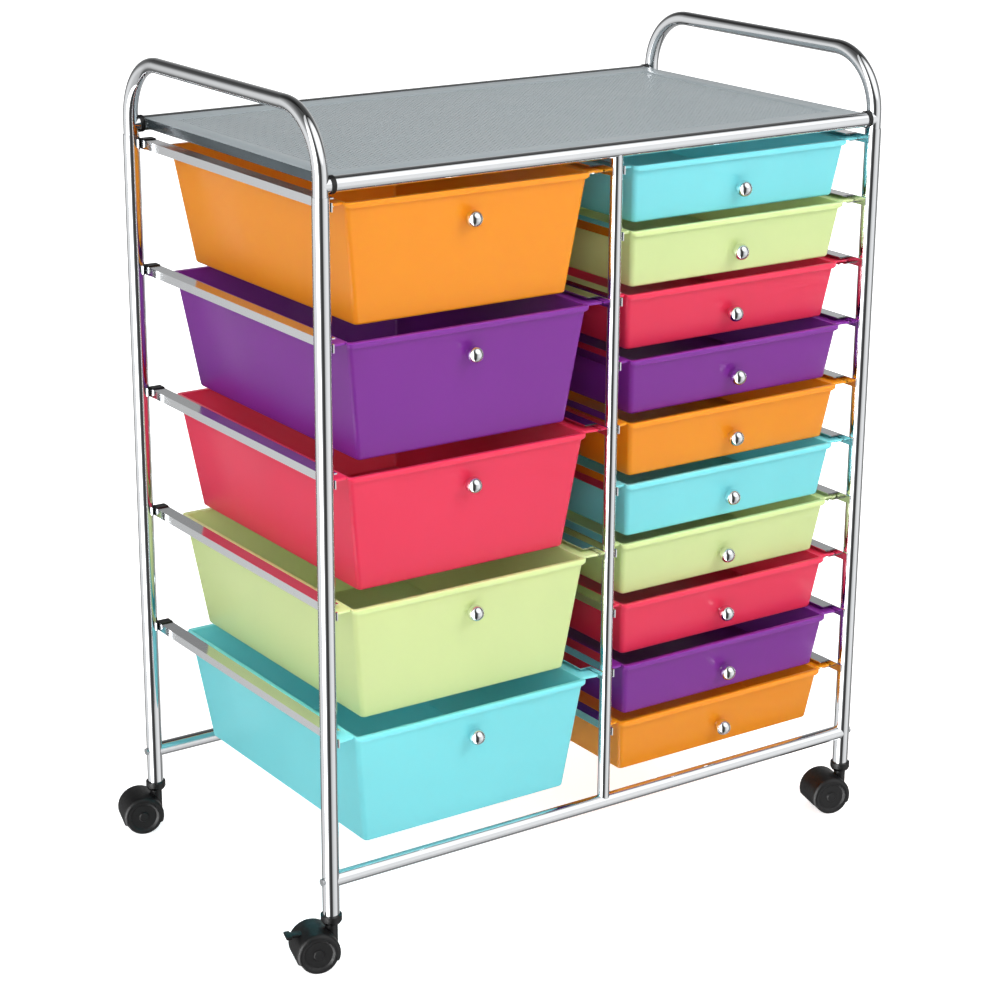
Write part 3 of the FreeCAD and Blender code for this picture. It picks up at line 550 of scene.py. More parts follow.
def join(pieces: list[Object], name: str) -> Object:
    """Join pieces into the first one.

    Args:
        pieces: The pieces.
        name: The joined piece's name.

    Returns:
        The joined piece.
    """
    activate(pieces[0])
    for piece in pieces[1:]:
        piece.select_set(True)
    bpy.ops.object.join()
    joined = bpy.context.object
    joined.name = name
    return joined


def place(piece: Object, matrix: Matrix) -> None:
    """Move a piece by a matrix, in its mesh."""
    piece.matrix_world = matrix
    settle(piece)


def dress(piece: Object, material: Material) -> None:
    """Give a new piece its only material."""
    piece.data.materials.clear()
    piece.data.materials.append(material)


def hand_over(piece: Object, body: str, slot: str, *nodes: str) -> None:
    """Ride a piece on its body in place of the nodes it stands for, and report it.

    Args:
        piece: The finished piece.
        body: The body that carries it.
        slot: Name of a material slot; not used.
        *nodes: The nodes it replaces.
    """
    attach(piece, body)
    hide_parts(*nodes)
    log.info("%s rides on %s, %d faces", piece.name, body, len(piece.data.polygons))


# Sub-assemblies


@dataclass
class Drawer:
    """A tapered tub under a flat lip, with its knob.

    Attributes:
        kind: Which column it belongs to, deep or shallow.
        number: Its place from the top, from 1.
        colour: The plastic's colour.
        front_taper: How far the front wall leans back over its height.
        side_taper: How far each side wall leans in.
        rear_taper: How far the rear wall leans forward.
        knob_drop: Lip's underside down to the knob's axis.
        wall: Thickness of the plastic.
        side_lip, front_lip, rear_lip: How far the lip stands out from the tub.
        lip_thickness: Top of the drawer down to the lip's underside.
        skirt: Top of the drawer down to the folded front edge's lower end.
        skirt_steps: Where that edge rises round a corner, as shares of the radius.
        skirt_rise: How much it rises at each, as a share of its depth.
        lip_flare: How much longer the side lips are at their outer edge.
        corner, floor_radius, edge_radius: Radii of upright corners, floor and lip edges.
        arc_share: Share of a corner's radius past which a point counts as on its arc.
        ball_radius, knob_foot, knob_neck: Radii of the knob's ball, foot and neck.
        knob_stand: The front wall to the ball's middle.
        foot_height, neck_height: Where the foot's side ends and the neck starts.
        corner_flats, floor_flats: Flats of a corner and of the floor's rounding.
        knob_flats, ball_flats: Flats round the knob, and from its neck to its top.
    """

    kind: str
    number: int
    colour: Colour
    front_taper: float
    side_taper: float
    rear_taper: float
    knob_drop: float
    wall: float = 2.2 * MM
    side_lip: float = 18.2 * MM
    front_lip: float = 3 * MM
    rear_lip: float = 4 * MM
    lip_thickness: float = 2.5 * MM
    skirt: float = 5.4 * MM
    skirt_steps: tuple[float, ...] = (0.2, 0.5, 0.75)
    skirt_rise: float = 0.3
    lip_flare: float = 1.012
    corner: float = 5 * MM
    corner_flats: int = 6
    arc_share: float = 0.9
    floor_radius: float = 2.5 * MM
    floor_flats: int = 4
    edge_radius: float = 0.95 * MM
    ball_radius: float = 8 * MM
    knob_stand: float = 8.5 * MM
    knob_foot: float = 3.0 * MM
    knob_neck: float = 2.6 * MM
    foot_height: float = 0.5 * MM
    neck_height: float = 1.3 * MM
    knob_flats: int = 40
    ball_flats: int = 18

    @property
    def node(self) -> str:
        """Name of the drawer's node."""
        return f"drawer_{self.kind}_{self.number}"

    @property
    def body(self) -> str:
        """Name of the body that the drawer is."""
        return f"{self.kind}_drawer_{self.number}"

    def build(self) -> None:
        """Model and dress the drawer and its knob."""
        self.low, self.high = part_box(self.node)
        self.middle_x = (self.low.x + self.high.x) / 2
        self.lip_z = self.high.z - self.lip_thickness
        self.half = self.high.x - self.middle_x - self.side_lip
        self.front, self.rear = self.low.y + self.front_lip, self.high.y - self.rear_lip
        ledge = self.front_lip - self.wall
        self.rim_half, self.rim_front = self.half + ledge, self.front - ledge
        tub = self.shape_tub()
        dress(tub, polypropylene(self.colour).build())
        hand_over(tub, self.body, f"{self.colour.name.lower()}_plastic", self.node)
        knob = self.shape_knob()
        dress(knob, CHROME_CASTING.build())
        hand_over(knob, self.body, "chrome_knob", f"knob_{self.kind}_{self.number}")

    def shape_tub(self) -> Object:
        """Model the tub, its lip and the skirt along the front.

        Returns:
            The piece.
        """
        tub = add_block(
            f"{self.kind}_drawer_tub_{self.number}",
            Vector((self.middle_x - self.half, self.front, self.low.z)),
            Vector((self.middle_x + self.half, self.rear, self.lip_z)),
        )
        edit(tub, Element.VERTEX)
        self.taper_walls(tub)
        self.round_tub(tub)
        self.spread_lip(tub)
        close()
        face_outwards(tub, self.score_floor)
        thicken(tub, self.wall)
        round_edges(tub, self.edge_radius)
        return tub

    def score_floor(self, face: MeshPolygon) -> float:
        """Return how far a floor face points down, and nothing for any other face."""
        return -face.normal.z if face.center.z < self.low.z + self.floor_radius else 0.0

    def across(self, co: Vector) -> float:
        """Return how far a point lies from the drawer's middle, along X."""
        return abs(co.x - self.middle_x)

    def taper_walls(self, tub: Object) -> None:
        """Draw the foot of the walls in.

        Args:
            tub: The tub, in edit mode.
        """
        share_x = (self.half - self.side_taper) / self.half
        share_y = 1 - (self.front_taper + self.rear_taper) / (self.rear - self.front)
        fixed_y = self.front + self.front_taper / (1 - share_y)
        pick(tub, Element.VERTEX, lambda co: co.z < self.low.z + MM)
        bpy.ops.transform.resize(
            value=(share_x, share_y, 1), center_override=(self.middle_x, fixed_y, self.low.z)
        )

    def round_tub(self, tub: Object) -> None:
        """Round the tub's corners and open its top.

        Args:
            tub: The tub, in edit mode.
        """
        mesh = bmesh.from_edit_mesh(tub.data)
        bpy.ops.mesh.select_mode(type="EDGE")
        bpy.ops.mesh.select_all(action="DESELECT")
        for edge in mesh.edges:
            rise = abs(edge.verts[0].co.z - edge.verts[1].co.z)
            edge.select_set(rise > (self.lip_z - self.low.z) / 2)
        bmesh.update_edit_mesh(tub.data)
        bpy.ops.mesh.bevel(offset=self.corner, segments=self.corner_flats, affect="EDGES")
        pick(tub, Element.EDGE, lambda co: co.z < self.low.z + SAME_PLACE)
        bpy.ops.mesh.bevel(offset=self.floor_radius, segments=self.floor_flats, affect="EDGES")
        pick(tub, Element.FACE, lambda co: co.z > self.lip_z - SAME_PLACE)
        bpy.ops.mesh.delete(type="ONLY_FACE")

    def spread_lip(self, tub: Object) -> None:
        """Turn a narrow rim out of the tub's mouth, fold its front down and spread the side lips.

        Args:
            tub: The tub, in edit mode.
        """
        pick(tub, Element.EDGE, lambda co: co.z > self.lip_z - SAME_PLACE)
        bpy.ops.mesh.extrude_edges_move()
        share_y = (self.high.y - self.rim_front) / (self.rear - self.front)
        fixed_y = (self.rim_front - self.front * share_y) / (1 - share_y)
        bpy.ops.transform.resize(
            value=(self.rim_half / self.half, share_y, 1),
            center_override=(self.middle_x, fixed_y, self.lip_z),
        )
        self.fold_skirt(tub)
        outside, under = self.rim_half - SAME_PLACE, self.lip_z - SAME_PLACE
        pick(tub, Element.EDGE, lambda co: self.across(co) > outside and co.z > under)
        bpy.ops.mesh.extrude_edges_move()
        bpy.ops.transform.resize(
            value=((self.high.x - self.middle_x) / self.rim_half, self.lip_flare, 1),
            center_override=(self.middle_x, (self.front + self.rear) / 2, self.lip_z),
        )

    def fold_skirt(self, tub: Object) -> None:
        """Fold the rim's front edge down, less and less deep round its corners.

        Args:
            tub: The tub, in edit mode.
        """
        pick(tub, Element.EDGE, self.on_front_rim)
        bpy.ops.mesh.extrude_edges_move()
        drop = self.skirt - self.lip_thickness
        bpy.ops.transform.translate(value=(0, 0, -drop))
        for share in self.skirt_steps:
            start = self.rim_half - self.corner * (1 - share)
            pick(tub, Element.VERTEX, lambda co: self.across(co) > start and self.on_skirt(co))
            bpy.ops.transform.translate(value=(0, 0, self.skirt_rise * drop))

    def on_skirt(self, co: Vector) -> bool:
        """Tell whether a point lies on the lower edge of the folded front."""
        return self.lip_z - self.skirt < co.z < self.lip_z - SAME_PLACE

    def on_front_rim(self, co: Vector) -> bool:
        """Tell whether a point lies on the rim's outer edge, along the front or round its corners.

        Args:
            co: The point.

        Returns:
            Whether it does.
        """
        if co.z < self.lip_z - SAME_PLACE or co.y >= self.front + self.corner / 2:
            return False
        past_corner = self.across(co) - (self.rim_half - self.corner)
        if past_corner <= 0:
            return co.y < self.rim_front + SAME_PLACE
        before_corner = self.rim_front + self.corner - co.y
        reach = math.hypot(past_corner, before_corner)
        return before_corner > -SAME_PLACE and reach > self.corner * self.arc_share

    def shape_knob(self) -> Object:
        """Model the ball knob, square to the leaning front.

        Returns:
            The piece.
        """
        ball = (0.0, self.knob_stand)
        neck_angle = -math.degrees(math.acos(self.knob_neck / self.ball_radius))
        profile = [
            (0.0, -self.wall / 2),
            (self.knob_foot, -self.wall / 2),
            (self.knob_foot, self.foot_height),
            (self.knob_neck, self.neck_height),
            *arc(ball, self.ball_radius, neck_angle, 90, self.ball_flats),
        ]
        knob = spin_profile(f"{self.kind}_drawer_knob_{self.number}", profile, self.knob_flats)
        height = self.lip_z - self.low.z
        lean = math.atan(self.front_taper / height)
        face_y = self.front + self.front_taper * self.knob_drop / height
        spot = Matrix.Translation((self.middle_x, face_y, self.lip_z - self.knob_drop))
        place(knob, spot @ Matrix.Rotation(math.pi / 2 + lean, 4, "X"))
        shade_smooth(knob)
        return knob


@dataclass
class Tray:
    """The punched sheet on top, with a raised border and two side flanges.

    Attributes:
        node: The construction's tray.
        border: Least width of the plain border.
        pitch: Spacing of the holes.
        hole_radius, hole_sides: Radius of a hole, and how many flats it has.
        sheet: Thickness of the sheet.
        step, step_run: Height of the border over the punched field, and the width of that step.
    """

    node: str = "top_tray"
    border: float = 20 * MM
    pitch: float = 4.6 * MM
    hole_radius: float = 1.25 * MM
    hole_sides: int = 6
    sheet: float = 1.0 * MM
    step: float = 1.2 * MM
    step_run: float = 2.5 * MM

    def build(self) -> None:
        """Model and dress the two halves of the punched field, the border and the flanges."""
        self.low, self.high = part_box(self.node)
        size = self.high - self.low
        self.edge_radius = self.sheet / 3
        columns = math.floor((size.x - 2 * self.border) / self.pitch)
        self.rows = math.floor((size.y - 2 * self.border) / self.pitch)
        self.field = Vector((columns * self.pitch, self.rows * self.pitch, 0))
        self.middle = (self.low + self.high) / 2
        left_columns = columns // 2
        # The flanges' finish is darkened with painted shade and painted dark reflections.
        coated, folded = POWDER_COAT.build(), FLANGE_PAINTED_SHADE.build()
        for piece, material in (
            (self.shape_field("tray_punched_left", 0, left_columns), coated),
            (self.shape_field("tray_punched_right", left_columns, columns - left_columns), coated),
            (self.shape_border(), coated),
            (self.shape_flange("tray_flange_left", self.low.x), folded),
            (self.shape_flange("tray_flange_right", self.high.x - self.sheet), folded),
        ):
            dress(piece, material)
            hand_over(piece, "frame", "grey_sheet", self.node)

    def shape_flange(self, name: str, x: float) -> Object:
        """Model a side flange.

        Args:
            name: The piece's name.
            x: Its left face.

        Returns:
            The piece.
        """
        low = Vector((x, self.low.y, self.low.z))
        flange = add_block(name, low, Vector((x + self.sheet, self.high.y, self.high.z - self.sheet)))
        round_edges(flange, self.edge_radius)
        return flange

    def shape_field(self, name: str, start: int, count: int) -> Object:
        """Model some columns of the punched field from one punched cell.

        Args:
            name: The piece's name.
            start: Its first column.
            count: How many columns it has.

        Returns:
            The piece.
        """
        corner = self.middle - self.field / 2
        x = corner.x + (start + 0.5) * self.pitch
        y = corner.y + 0.5 * self.pitch
        clear_selection()
        bpy.ops.mesh.primitive_plane_add(size=self.pitch)
        cell = bpy.context.object
        cell.name = name
        edit(cell, Element.FACE)
        select_all()
        bpy.ops.mesh.delete(type="ONLY_FACE")
        bpy.ops.mesh.primitive_circle_add(vertices=self.hole_sides, radius=self.hole_radius)
        bpy.ops.mesh.select_mode(type="EDGE")
        select_all()
        bpy.ops.mesh.bridge_edge_loops()
        face_outwards(cell, lambda face: face.normal.z)
        place(cell, Matrix.Translation((x, y, self.high.z - self.step)))
        for repeats, step in ((count, (self.pitch, 0, 0)), (self.rows, (0, self.pitch, 0))):
            modify(
                cell,
                "ARRAY",
                count=repeats,
                use_relative_offset=False,
                use_constant_offset=True,
                constant_offset_displace=step,
            )
        edit(cell, Element.VERTEX)
        select_all()
        bpy.ops.mesh.remove_doubles(threshold=SAME_PLACE)
        close()
        thicken(cell, self.sheet)
        return cell

    def shape_border(self) -> Object:
        """Model the plain border and its step down to the field.

        Returns:
            The piece.
        """
        clear_selection()
        bpy.ops.mesh.primitive_plane_add(size=1.0)
        border = bpy.context.object
        border.name = "tray_border"
        border.scale = (self.field.x, self.field.y, 1)
        border.location = (self.middle.x, self.middle.y, self.high.z - self.step)
        settle(border)
        edit(border, Element.FACE)
        select_all()
        bpy.ops.mesh.delete(type="ONLY_FACE")
        run = Vector((2 * self.step_run, 2 * self.step_run, 0))
        self.widen_edge(border, self.field + run, self.step)
        self.widen_edge(border, self.high - self.low, 0.0)
        face_outwards(border, lambda face: face.normal.z)
        thicken(border, self.sheet)
        round_edges(border, self.edge_radius)
        return border

    def widen_edge(self, border: Object, outline: Vector, rise: float) -> None:
        """Extrude the border's outer edge to a larger rectangle.

        Args:
            border: The border, in edit mode.
            outline: Width and depth of the new rectangle.
            rise: How much higher it is.
        """
        middle = self.middle
        corners = [v.co - middle for v in bmesh.from_edit_mesh(border.data).verts]
        far, deep = (max(abs(co[axis]) for co in corners) for axis in (0, 1))
        side, end = far - SAME_PLACE, deep - SAME_PLACE
        pick(border, Element.EDGE, lambda co: abs(co.x - middle.x) > side or abs(co.y - middle.y) > end)
        bpy.ops.mesh.extrude_edges_move()
        bpy.ops.transform.resize(
            value=(outline.x / 2 / far, outline.y / 2 / deep, 1),
            center_override=(middle.x, middle.y, self.high.z),
        )
        bpy.ops.transform.translate(value=(0, 0, rise))


@dataclass
class Caster:
    """A hooded twin-wheel caster under one post.

    Attributes:
        corner: Which post it stands under.
        braked: Whether it has a brake lever.
        trail: The swivel's axis back to the axle.
        swing: How far it stands turned.
        wheel_radius: Radius of the wheels, and height of the axle.
        wheel_inner, wheel_outer: The axle's middle to a wheel's inner and outer face.
        wheel_dish: Radius and depth, in mm, of the outer face's corners.
        hood_inner, hood_wall, hood_half: Inner radius, wall and half width of the hood.
        hood_edge: Height of its lower edge.
        shoulder, shoulder_land: Rounding of its rims, and the flat left inside it.
        web_half, web_sink: Half the width of the web between the wheels, and its hold in the hood.
        axle_radius, neck_radius, barrel_radius: Radii of the axle, the neck and the lever's barrel.
        neck_top: Height of the neck's upper end.
        tread_radius, neck_edge: Rounding of the wheels' and the neck's edges.
        mould_edge, pedal_edge: Rounding of the other moulded edges and of the pedal's.
        lever_back, lever_rise: The axle to the lever's axis, backwards and upwards.
        lever_reach, lever_half, lever_plate: Length, half width and thickness of the lever.
        pedal_half, pedal_length, pedal_flare: The pedal's half width, length and widening.
        round_flats: Flats round the hood, the web and the wheels.
        neck_flats, barrel_flats: Flats round the neck and the barrel.
        shoulder_flats, tread_flats, edge_flats: Flats of the shoulder, the treads and the neck's edge.
    """

    corner: str
    braked: bool
    trail: float = 16.4 * MM
    swing: float = math.radians(-16)
    wheel_radius: float = 19 * MM
    wheel_inner: float = 7 * MM
    wheel_outer: float = 19 * MM
    wheel_dish: tuple[Point, ...] = (
        (0.0, 0.5), (4.4, 0.5), (5, 1.1), (5.4, 2), (13, 2), (14.6, 0.4), (15.2, 0),
    )
    tread_radius: float = 2 * MM
    axle_radius: float = 2.5 * MM
    hood_inner: float = 19.7 * MM
    hood_wall: float = 1.5 * MM
    hood_half: float = 19.5 * MM
    hood_edge: float = 11.5 * MM
    shoulder: float = 4 * MM
    shoulder_land: float = 1 * MM
    web_half: float = 6.5 * MM
    web_sink: float = 0.5 * MM
    neck_radius: float = 6 * MM
    neck_top: float = 42.3 * MM
    neck_edge: float = 0.8 * MM
    mould_edge: float = 0.4 * MM
    lever_back: float = 10 * MM
    lever_rise: float = 15.5 * MM
    lever_reach: float = 18 * MM
    lever_half: float = 4.2 * MM
    lever_plate: float = 3 * MM
    barrel_radius: float = 2.5 * MM
    pedal_half: float = 7 * MM
    pedal_length: float = 6 * MM
    pedal_flare: float = 1 * MM
    pedal_edge: float = 0.7 * MM
    round_flats: int = 48
    neck_flats: int = 32
    barrel_flats: int = 24
    shoulder_flats: int = 5
    tread_flats: int = 5
    edge_flats: int = 3

    def build(self) -> None:
        """Model and dress the hood, the wheels and the brake lever."""
        low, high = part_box(f"post_{self.corner}")
        middle = (low + high) / 2
        turn = Matrix.Rotation(self.swing, 4, "Z")
        stand = Matrix.Translation((middle.x, middle.y, 0)) @ turn
        shapes = [
            (self.shape_hood(), "caster", "black_plastic", "caster_hood", BLACK_NYLON),
            (self.shape_wheels(), "wheels", "black_wheel", "caster_wheels", WHEEL_NYLON),
        ]
        if self.braked:
            shapes.append((self.shape_lever(), "brake", "black_plastic", "brake_lever", BLACK_NYLON))
        for piece, body, slot, node, finish in shapes:
            place(piece, stand)
            dress(piece, finish.build())
            hand_over(piece, f"{body}_{self.corner}", slot, f"{node}_{self.corner}")

    def shape_hood(self) -> Object:
        """Model the fender with rounded shoulders, the web and the neck.

        Returns:
            The piece.
        """
        outer = self.hood_inner + self.hood_wall
        axis = (-self.trail, self.wheel_radius)
        fender = add_disc("fender", outer, 2 * self.hood_half, *axis, self.round_flats)
        edit(fender, Element.FACE)
        pick(fender, Element.FACE, lambda co: abs(co.y) > self.hood_half - SAME_PLACE)
        bpy.ops.mesh.inset(thickness=self.shoulder + self.shoulder_land, use_individual=True)
        bpy.ops.mesh.delete(type="FACE")
        pick(fender, Element.EDGE, self.on_shoulder)
        bpy.ops.mesh.bevel(offset=self.shoulder, segments=self.shoulder_flats, affect="EDGES")
        self.cut_below(fender)
        face_outwards(fender, lambda face: face.normal.z)
        thicken(fender, self.hood_wall)
        round_edges(fender, self.mould_edge)
        reach = self.hood_inner + self.web_sink
        web = add_disc("web", reach, 2 * self.web_half, *axis, self.round_flats)
        edit(web, Element.FACE)
        self.cut_below(web, fill=True)
        round_edges(web, self.mould_edge)
        corner = (self.neck_radius - self.neck_edge, self.neck_top - self.neck_edge)
        profile = [
            (0.0, self.wheel_radius),
            (self.neck_radius, self.wheel_radius),
            *arc(corner, self.neck_edge, 0, 90, self.edge_flats),
            (0.0, self.neck_top),
        ]
        neck = spin_profile("neck", profile, self.neck_flats)
        shade_smooth(neck)
        return join([fender, web, neck], f"caster_hood_shell_{self.corner}")

    def on_shoulder(self, co: Vector) -> bool:
        """Tell whether a point lies on the fender's outer rim."""
        reach = math.hypot(co.x + self.trail, co.z - self.wheel_radius)
        return reach > self.hood_inner and abs(co.y) > self.hood_half - SAME_PLACE

    def cut_below(self, piece: Object, fill: bool = False) -> None:
        """Cut away what lies below the hood's lower edge and leave edit mode.

        Args:
            piece: The piece, in edit mode.
            fill: Whether the cut is closed.
        """
        select_all()
        bpy.ops.mesh.bisect(
            plane_co=(0, 0, self.hood_edge), plane_no=(0, 0, 1), clear_inner=True, use_fill=fill
        )
        close()

    def shape_wheels(self) -> Object:
        """Model two dished wheels on one axle.

        Returns:
            The piece.
        """
        tread, radius = self.tread_radius, self.wheel_radius
        half = [
            *((reach * MM, self.wheel_outer - depth * MM) for reach, depth in self.wheel_dish),
            *arc((radius - tread, self.wheel_outer - tread), tread, 90, 0, self.tread_flats),
            *arc((radius - tread, self.wheel_inner + tread), tread, 0, -90, self.tread_flats),
            (self.axle_radius, self.wheel_inner),
        ]
        mirrored = [(reach, -along) for reach, along in reversed(half)]
        wheels = spin_profile(f"caster_wheel_pair_{self.corner}", half + mirrored, self.round_flats)
        shade_smooth(wheels)
        axle = Matrix.Translation((-self.trail, 0, radius)) @ Matrix.Rotation(math.pi / 2, 4, "X")
        place(wheels, axle)
        return wheels

    def shape_lever(self) -> Object:
        """Model the brake lever: barrel, arm and pedal.

        Returns:
            The piece.
        """
        pivot_x = -self.trail - self.lever_back
        pivot_z = self.wheel_radius + self.lever_rise
        plate = self.lever_plate / 2
        end = pivot_x - self.lever_reach
        width = 2 * self.lever_half
        barrel = add_disc("barrel", self.barrel_radius, width, pivot_x, pivot_z, self.barrel_flats)
        round_edges(barrel, self.mould_edge)
        arm = add_block(
            "arm",
            Vector((end + self.pedal_length, -self.lever_half, pivot_z - plate)),
            Vector((pivot_x, self.lever_half, pivot_z + plate)),
        )
        edit(arm, Element.FACE)
        pick(arm, Element.FACE, lambda co: co.x < end + self.pedal_length + SAME_PLACE)
        flare = {"value": (-self.pedal_flare, 0, 0)}
        bpy.ops.mesh.extrude_region_move(TRANSFORM_OT_translate=flare)
        bpy.ops.transform.resize(
            value=(1, self.pedal_half / self.lever_half, 1), center_override=(end, 0, pivot_z)
        )
        rest = {"value": (self.pedal_flare - self.pedal_length, 0, 0)}
        bpy.ops.mesh.extrude_region_move(TRANSFORM_OT_translate=rest)
        close()
        round_edges(arm, self.pedal_edge)
        return join([barrel, arm], f"brake_pedal_{self.corner}")


@dataclass(frozen=True)
class FrameFinish:
    """Finishes of the nodes that keep their own shape.

    Attributes:
        groups: Each finish, and how the names of its nodes start.
    """

    groups: tuple[tuple[Finish, tuple[str, ...]], ...] = (
        (CHROME_TUBE, ("post_", "handle_", "bottom_bar_", "top_bar_")),
        (CHROME_STRIP, ("rails_",)),
        (ZINC_PLATE, ("frame_screws",)),
        (BLACK_NYLON, ("bar_end_rings", "rail_end_stops", "caster_sockets")),
    )

    def build(self) -> None:
        """Dress each tube, rail, screw and plastic fitting."""
        for finish, starts in self.groups:
            material = finish.build()
            for name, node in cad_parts.items():
                if name.startswith(starts):
                    for slot in node.material_slots:
                        slot.material = material
                    log.info("%s dressed in %s", name, finish.name)


# Studio


@dataclass(frozen=True)
class Lamp:
    """A square lamp that faces the cart.

    Attributes:
        name: Its name.
        bearing, height: Where it stands, in degrees from the front and over the horizon.
        reach: How far it stands from the cart's middle.
        size: Its side.
        power: Its power in watts.
    """

    name: str
    bearing: float
    height: float
    reach: float
    size: float
    power: float


CAMERA_BEARING = -34.33
KEY = Lamp("key", 22, 42, 3.0, 1.6, 45)
FILL = Lamp("fill", CAMERA_BEARING, 22, 3.2, 1.2, 20)
TOP = Lamp("top", -60, 75, 2.6, 1.4, 16)
LEFT = Lamp("left", -112, 30, 3.0, 1.8, 27)


@dataclass(frozen=True)
class Studio:
    """White floor, soft light and the camera. Angles are in degrees.

    Attributes:
        azimuth, elevation, roll: Camera's bearing from the front, height and lean.
        distance, look_at: Camera to the point it looks at, and that point.
        focal_share, sensor: Focal length as a share of the sensor's width, and that width in mm.
        floor_size, floor_colour: Side of the floor, and its colour.
        floor_glow: What the floor adds to its light under the cart, for the camera.
        glow_start, glow_end: Between which distances from the middle that grows to 1.
        ambient: Level of the world's light.
        lamps, lamp_target: The lamps, and the point that they face.
        gain: Highest level that a reflection shows.
        box_level, box_edges: Level of the soft box round the key lamp, and its edges' angles.
        bearing_levels: Level that reflections show, by angle to the right of the camera.
        height_levels: The share of it that is left, by angle over the horizon.
    """

    azimuth: float = CAMERA_BEARING
    elevation: float = 18.08
    roll: float = 0.37
    distance: float = 2.561
    look_at: tuple[float, float, float] = (0.0016, -0.0045, 0.3593)
    focal_share: float = 2.5911
    sensor: float = 36.0
    floor_size: float = 30.0
    floor_colour: str = "#F2F2F2"
    floor_glow: float = 0.75
    glow_start: float = 0.5
    glow_end: float = 1.7
    ambient: float = 0.62
    lamps: tuple[Lamp, ...] = (KEY, FILL, TOP, LEFT)
    lamp_target: tuple[float, float, float] = (0, 0, 0.4)
    gain: float = 8.0
    box_level: float = 1.3
    box_edges: Point = (42, 28)
    bearing_levels: tuple[Point, ...] = (
        (-180, 0.6), (-146, 0.15), (-128, 0.2), (-116, 0.8), (-92, 0.95), (-62, 0.9),
        (-56, 8.0), (-30, 8.0), (-24, 0.95), (-20, 0.9), (-10, 0.2), (-2, 0.06),
        (22, 0.05), (32, 0.6), (50, 0.9), (70, 1.0), (92, 1.0), (100, 0.25),
        (122, 0.2), (132, 0.6), (180, 0.6),
    )
    height_levels: tuple[Point, ...] = (
        (-90, 0.5), (-40, 0.7), (-20, 1.0), (10, 1.0), (22, 0.55), (36, 0.25), (60, 0.1), (90, 0.1),
    )

    def build(self) -> None:
        """Set up the floor, the lights, the world and the camera."""
        self.add_floor()
        self.add_world()
        self.add_lamps()
        self.add_camera()
        bpy.context.scene.view_settings.view_transform = "Standard"

    def directions(self) -> tuple[Vector, Vector, Vector]:
        """Work out how the camera is turned.

        Returns:
            Right, up and backward, each one unit long.
        """
        a, r = math.radians(self.azimuth), math.radians(self.roll)
        back = self.towards(self.azimuth, self.elevation)
        right = Vector((math.cos(a), math.sin(a), 0))
        up = back.cross(right)
        return (right * math.cos(r) + up * math.sin(r), up * math.cos(r) - right * math.sin(r), back)

    def add_camera(self) -> None:
        """Add the camera."""
        right, up, back = self.directions()
        camera = bpy.data.cameras.new("camera")
        camera.sensor_width = self.sensor
        camera.lens = self.focal_share * self.sensor
        holder = bpy.data.objects.new("camera", camera)
        turn = Matrix((right, up, back)).transposed().to_4x4()
        holder.matrix_world = Matrix.Translation(Vector(self.look_at) + back * self.distance) @ turn
        bpy.context.scene.collection.objects.link(holder)
        bpy.context.scene.camera = holder

    def add_floor(self) -> None:
        """Add a matt white floor that shows white to the camera and keeps shadows."""
        clear_selection()
        bpy.ops.mesh.primitive_plane_add(size=self.floor_size)
        floor = bpy.context.object
        floor.name = "floor"
        material = bpy.data.materials.new("matt_white_floor")
        tree = empty_tree(material)
        rays = add_node(tree, "LightPath").outputs
        coords = add_node(tree, "TexCoord").outputs["Object"]
        reach = add_node(tree, "VectorMath", {"operation": "LENGTH"}, in_0=coords)
        level = add_node(
            tree,
            "MapRange",
            Value=reach.outputs["Value"],
            From_Min=self.glow_start,
            From_Max=self.glow_end,
            To_Min=self.floor_glow,
            To_Max=1.0,
        )
        times = {"operation": "MULTIPLY"}
        seen = add_node(tree, "Math", times, in_0=rays["Is Camera Ray"], in_1=level.outputs["Result"])
        matt = add_node(tree, "BsdfDiffuse", Color=linear(self.floor_colour))
        glow = add_node(tree, "Emission", Strength=seen.outputs[0])
        both = add_node(tree, "AddShader", in_0=matt.outputs[0], in_1=glow.outputs[0])
        add_node(tree, "OutputMaterial", Surface=both.outputs[0])
        dress(floor, material)
        floor.visible_glossy = False

    def add_world(self) -> None:
        """Add a white world with soft boxes and dark flags that only reflections show."""
        world = bpy.data.worlds.new("studio")
        bpy.context.scene.world = world
        tree = empty_tree(world)
        rays = add_node(tree, "LightPath").outputs
        coords = add_node(tree, "TexCoord").outputs["Generated"]
        right, _, back = self.directions()
        aims = (
            Vector((right.x, right.y, 0)).normalized(),
            Vector((back.x, back.y, 0)).normalized(),
            self.towards(KEY.bearing, KEY.height),
        )
        dot = {"operation": "DOT_PRODUCT"}
        sideways, backwards, boxed = (
            add_node(tree, "VectorMath", dot, in_0=coords, in_1=aim).outputs["Value"] for aim in aims
        )
        bearing = add_node(tree, "Math", {"operation": "ARCTAN2"}, in_0=sideways, in_1=backwards)
        rise = add_node(tree, "SeparateXYZ", Vector=coords)
        slope = add_node(tree, "Math", {"operation": "ARCSINE"}, in_0=rise.outputs["Z"])
        ramps = []
        for angle, limit, levels in (
            (bearing, 180, [(place, level / self.gain) for place, level in self.bearing_levels]),
            (slope, 90, self.height_levels),
        ):
            reach = math.radians(limit)
            share = add_node(tree, "MapRange", Value=angle.outputs[0], From_Min=-reach, From_Max=reach)
            ramp = add_node(tree, "ValToRGB", Fac=share.outputs["Result"])
            self.fill_ramp(ramp, limit, levels)
            ramps.append(ramp.outputs["Color"])
        both = add_node(tree, "VectorMath", {"operation": "MULTIPLY"}, in_0=ramps[0], in_1=ramps[1])
        outer, inner = (math.cos(math.radians(edge)) for edge in self.box_edges)
        box_share = self.box_level / self.gain
        box = add_node(
            tree, "MapRange", Value=boxed, From_Min=outer, From_Max=inner, To_Max=box_share
        )
        larger = {"operation": "MAXIMUM"}
        brighter = add_node(
            tree, "VectorMath", larger, in_0=both.outputs["Vector"], in_1=box.outputs["Result"]
        )
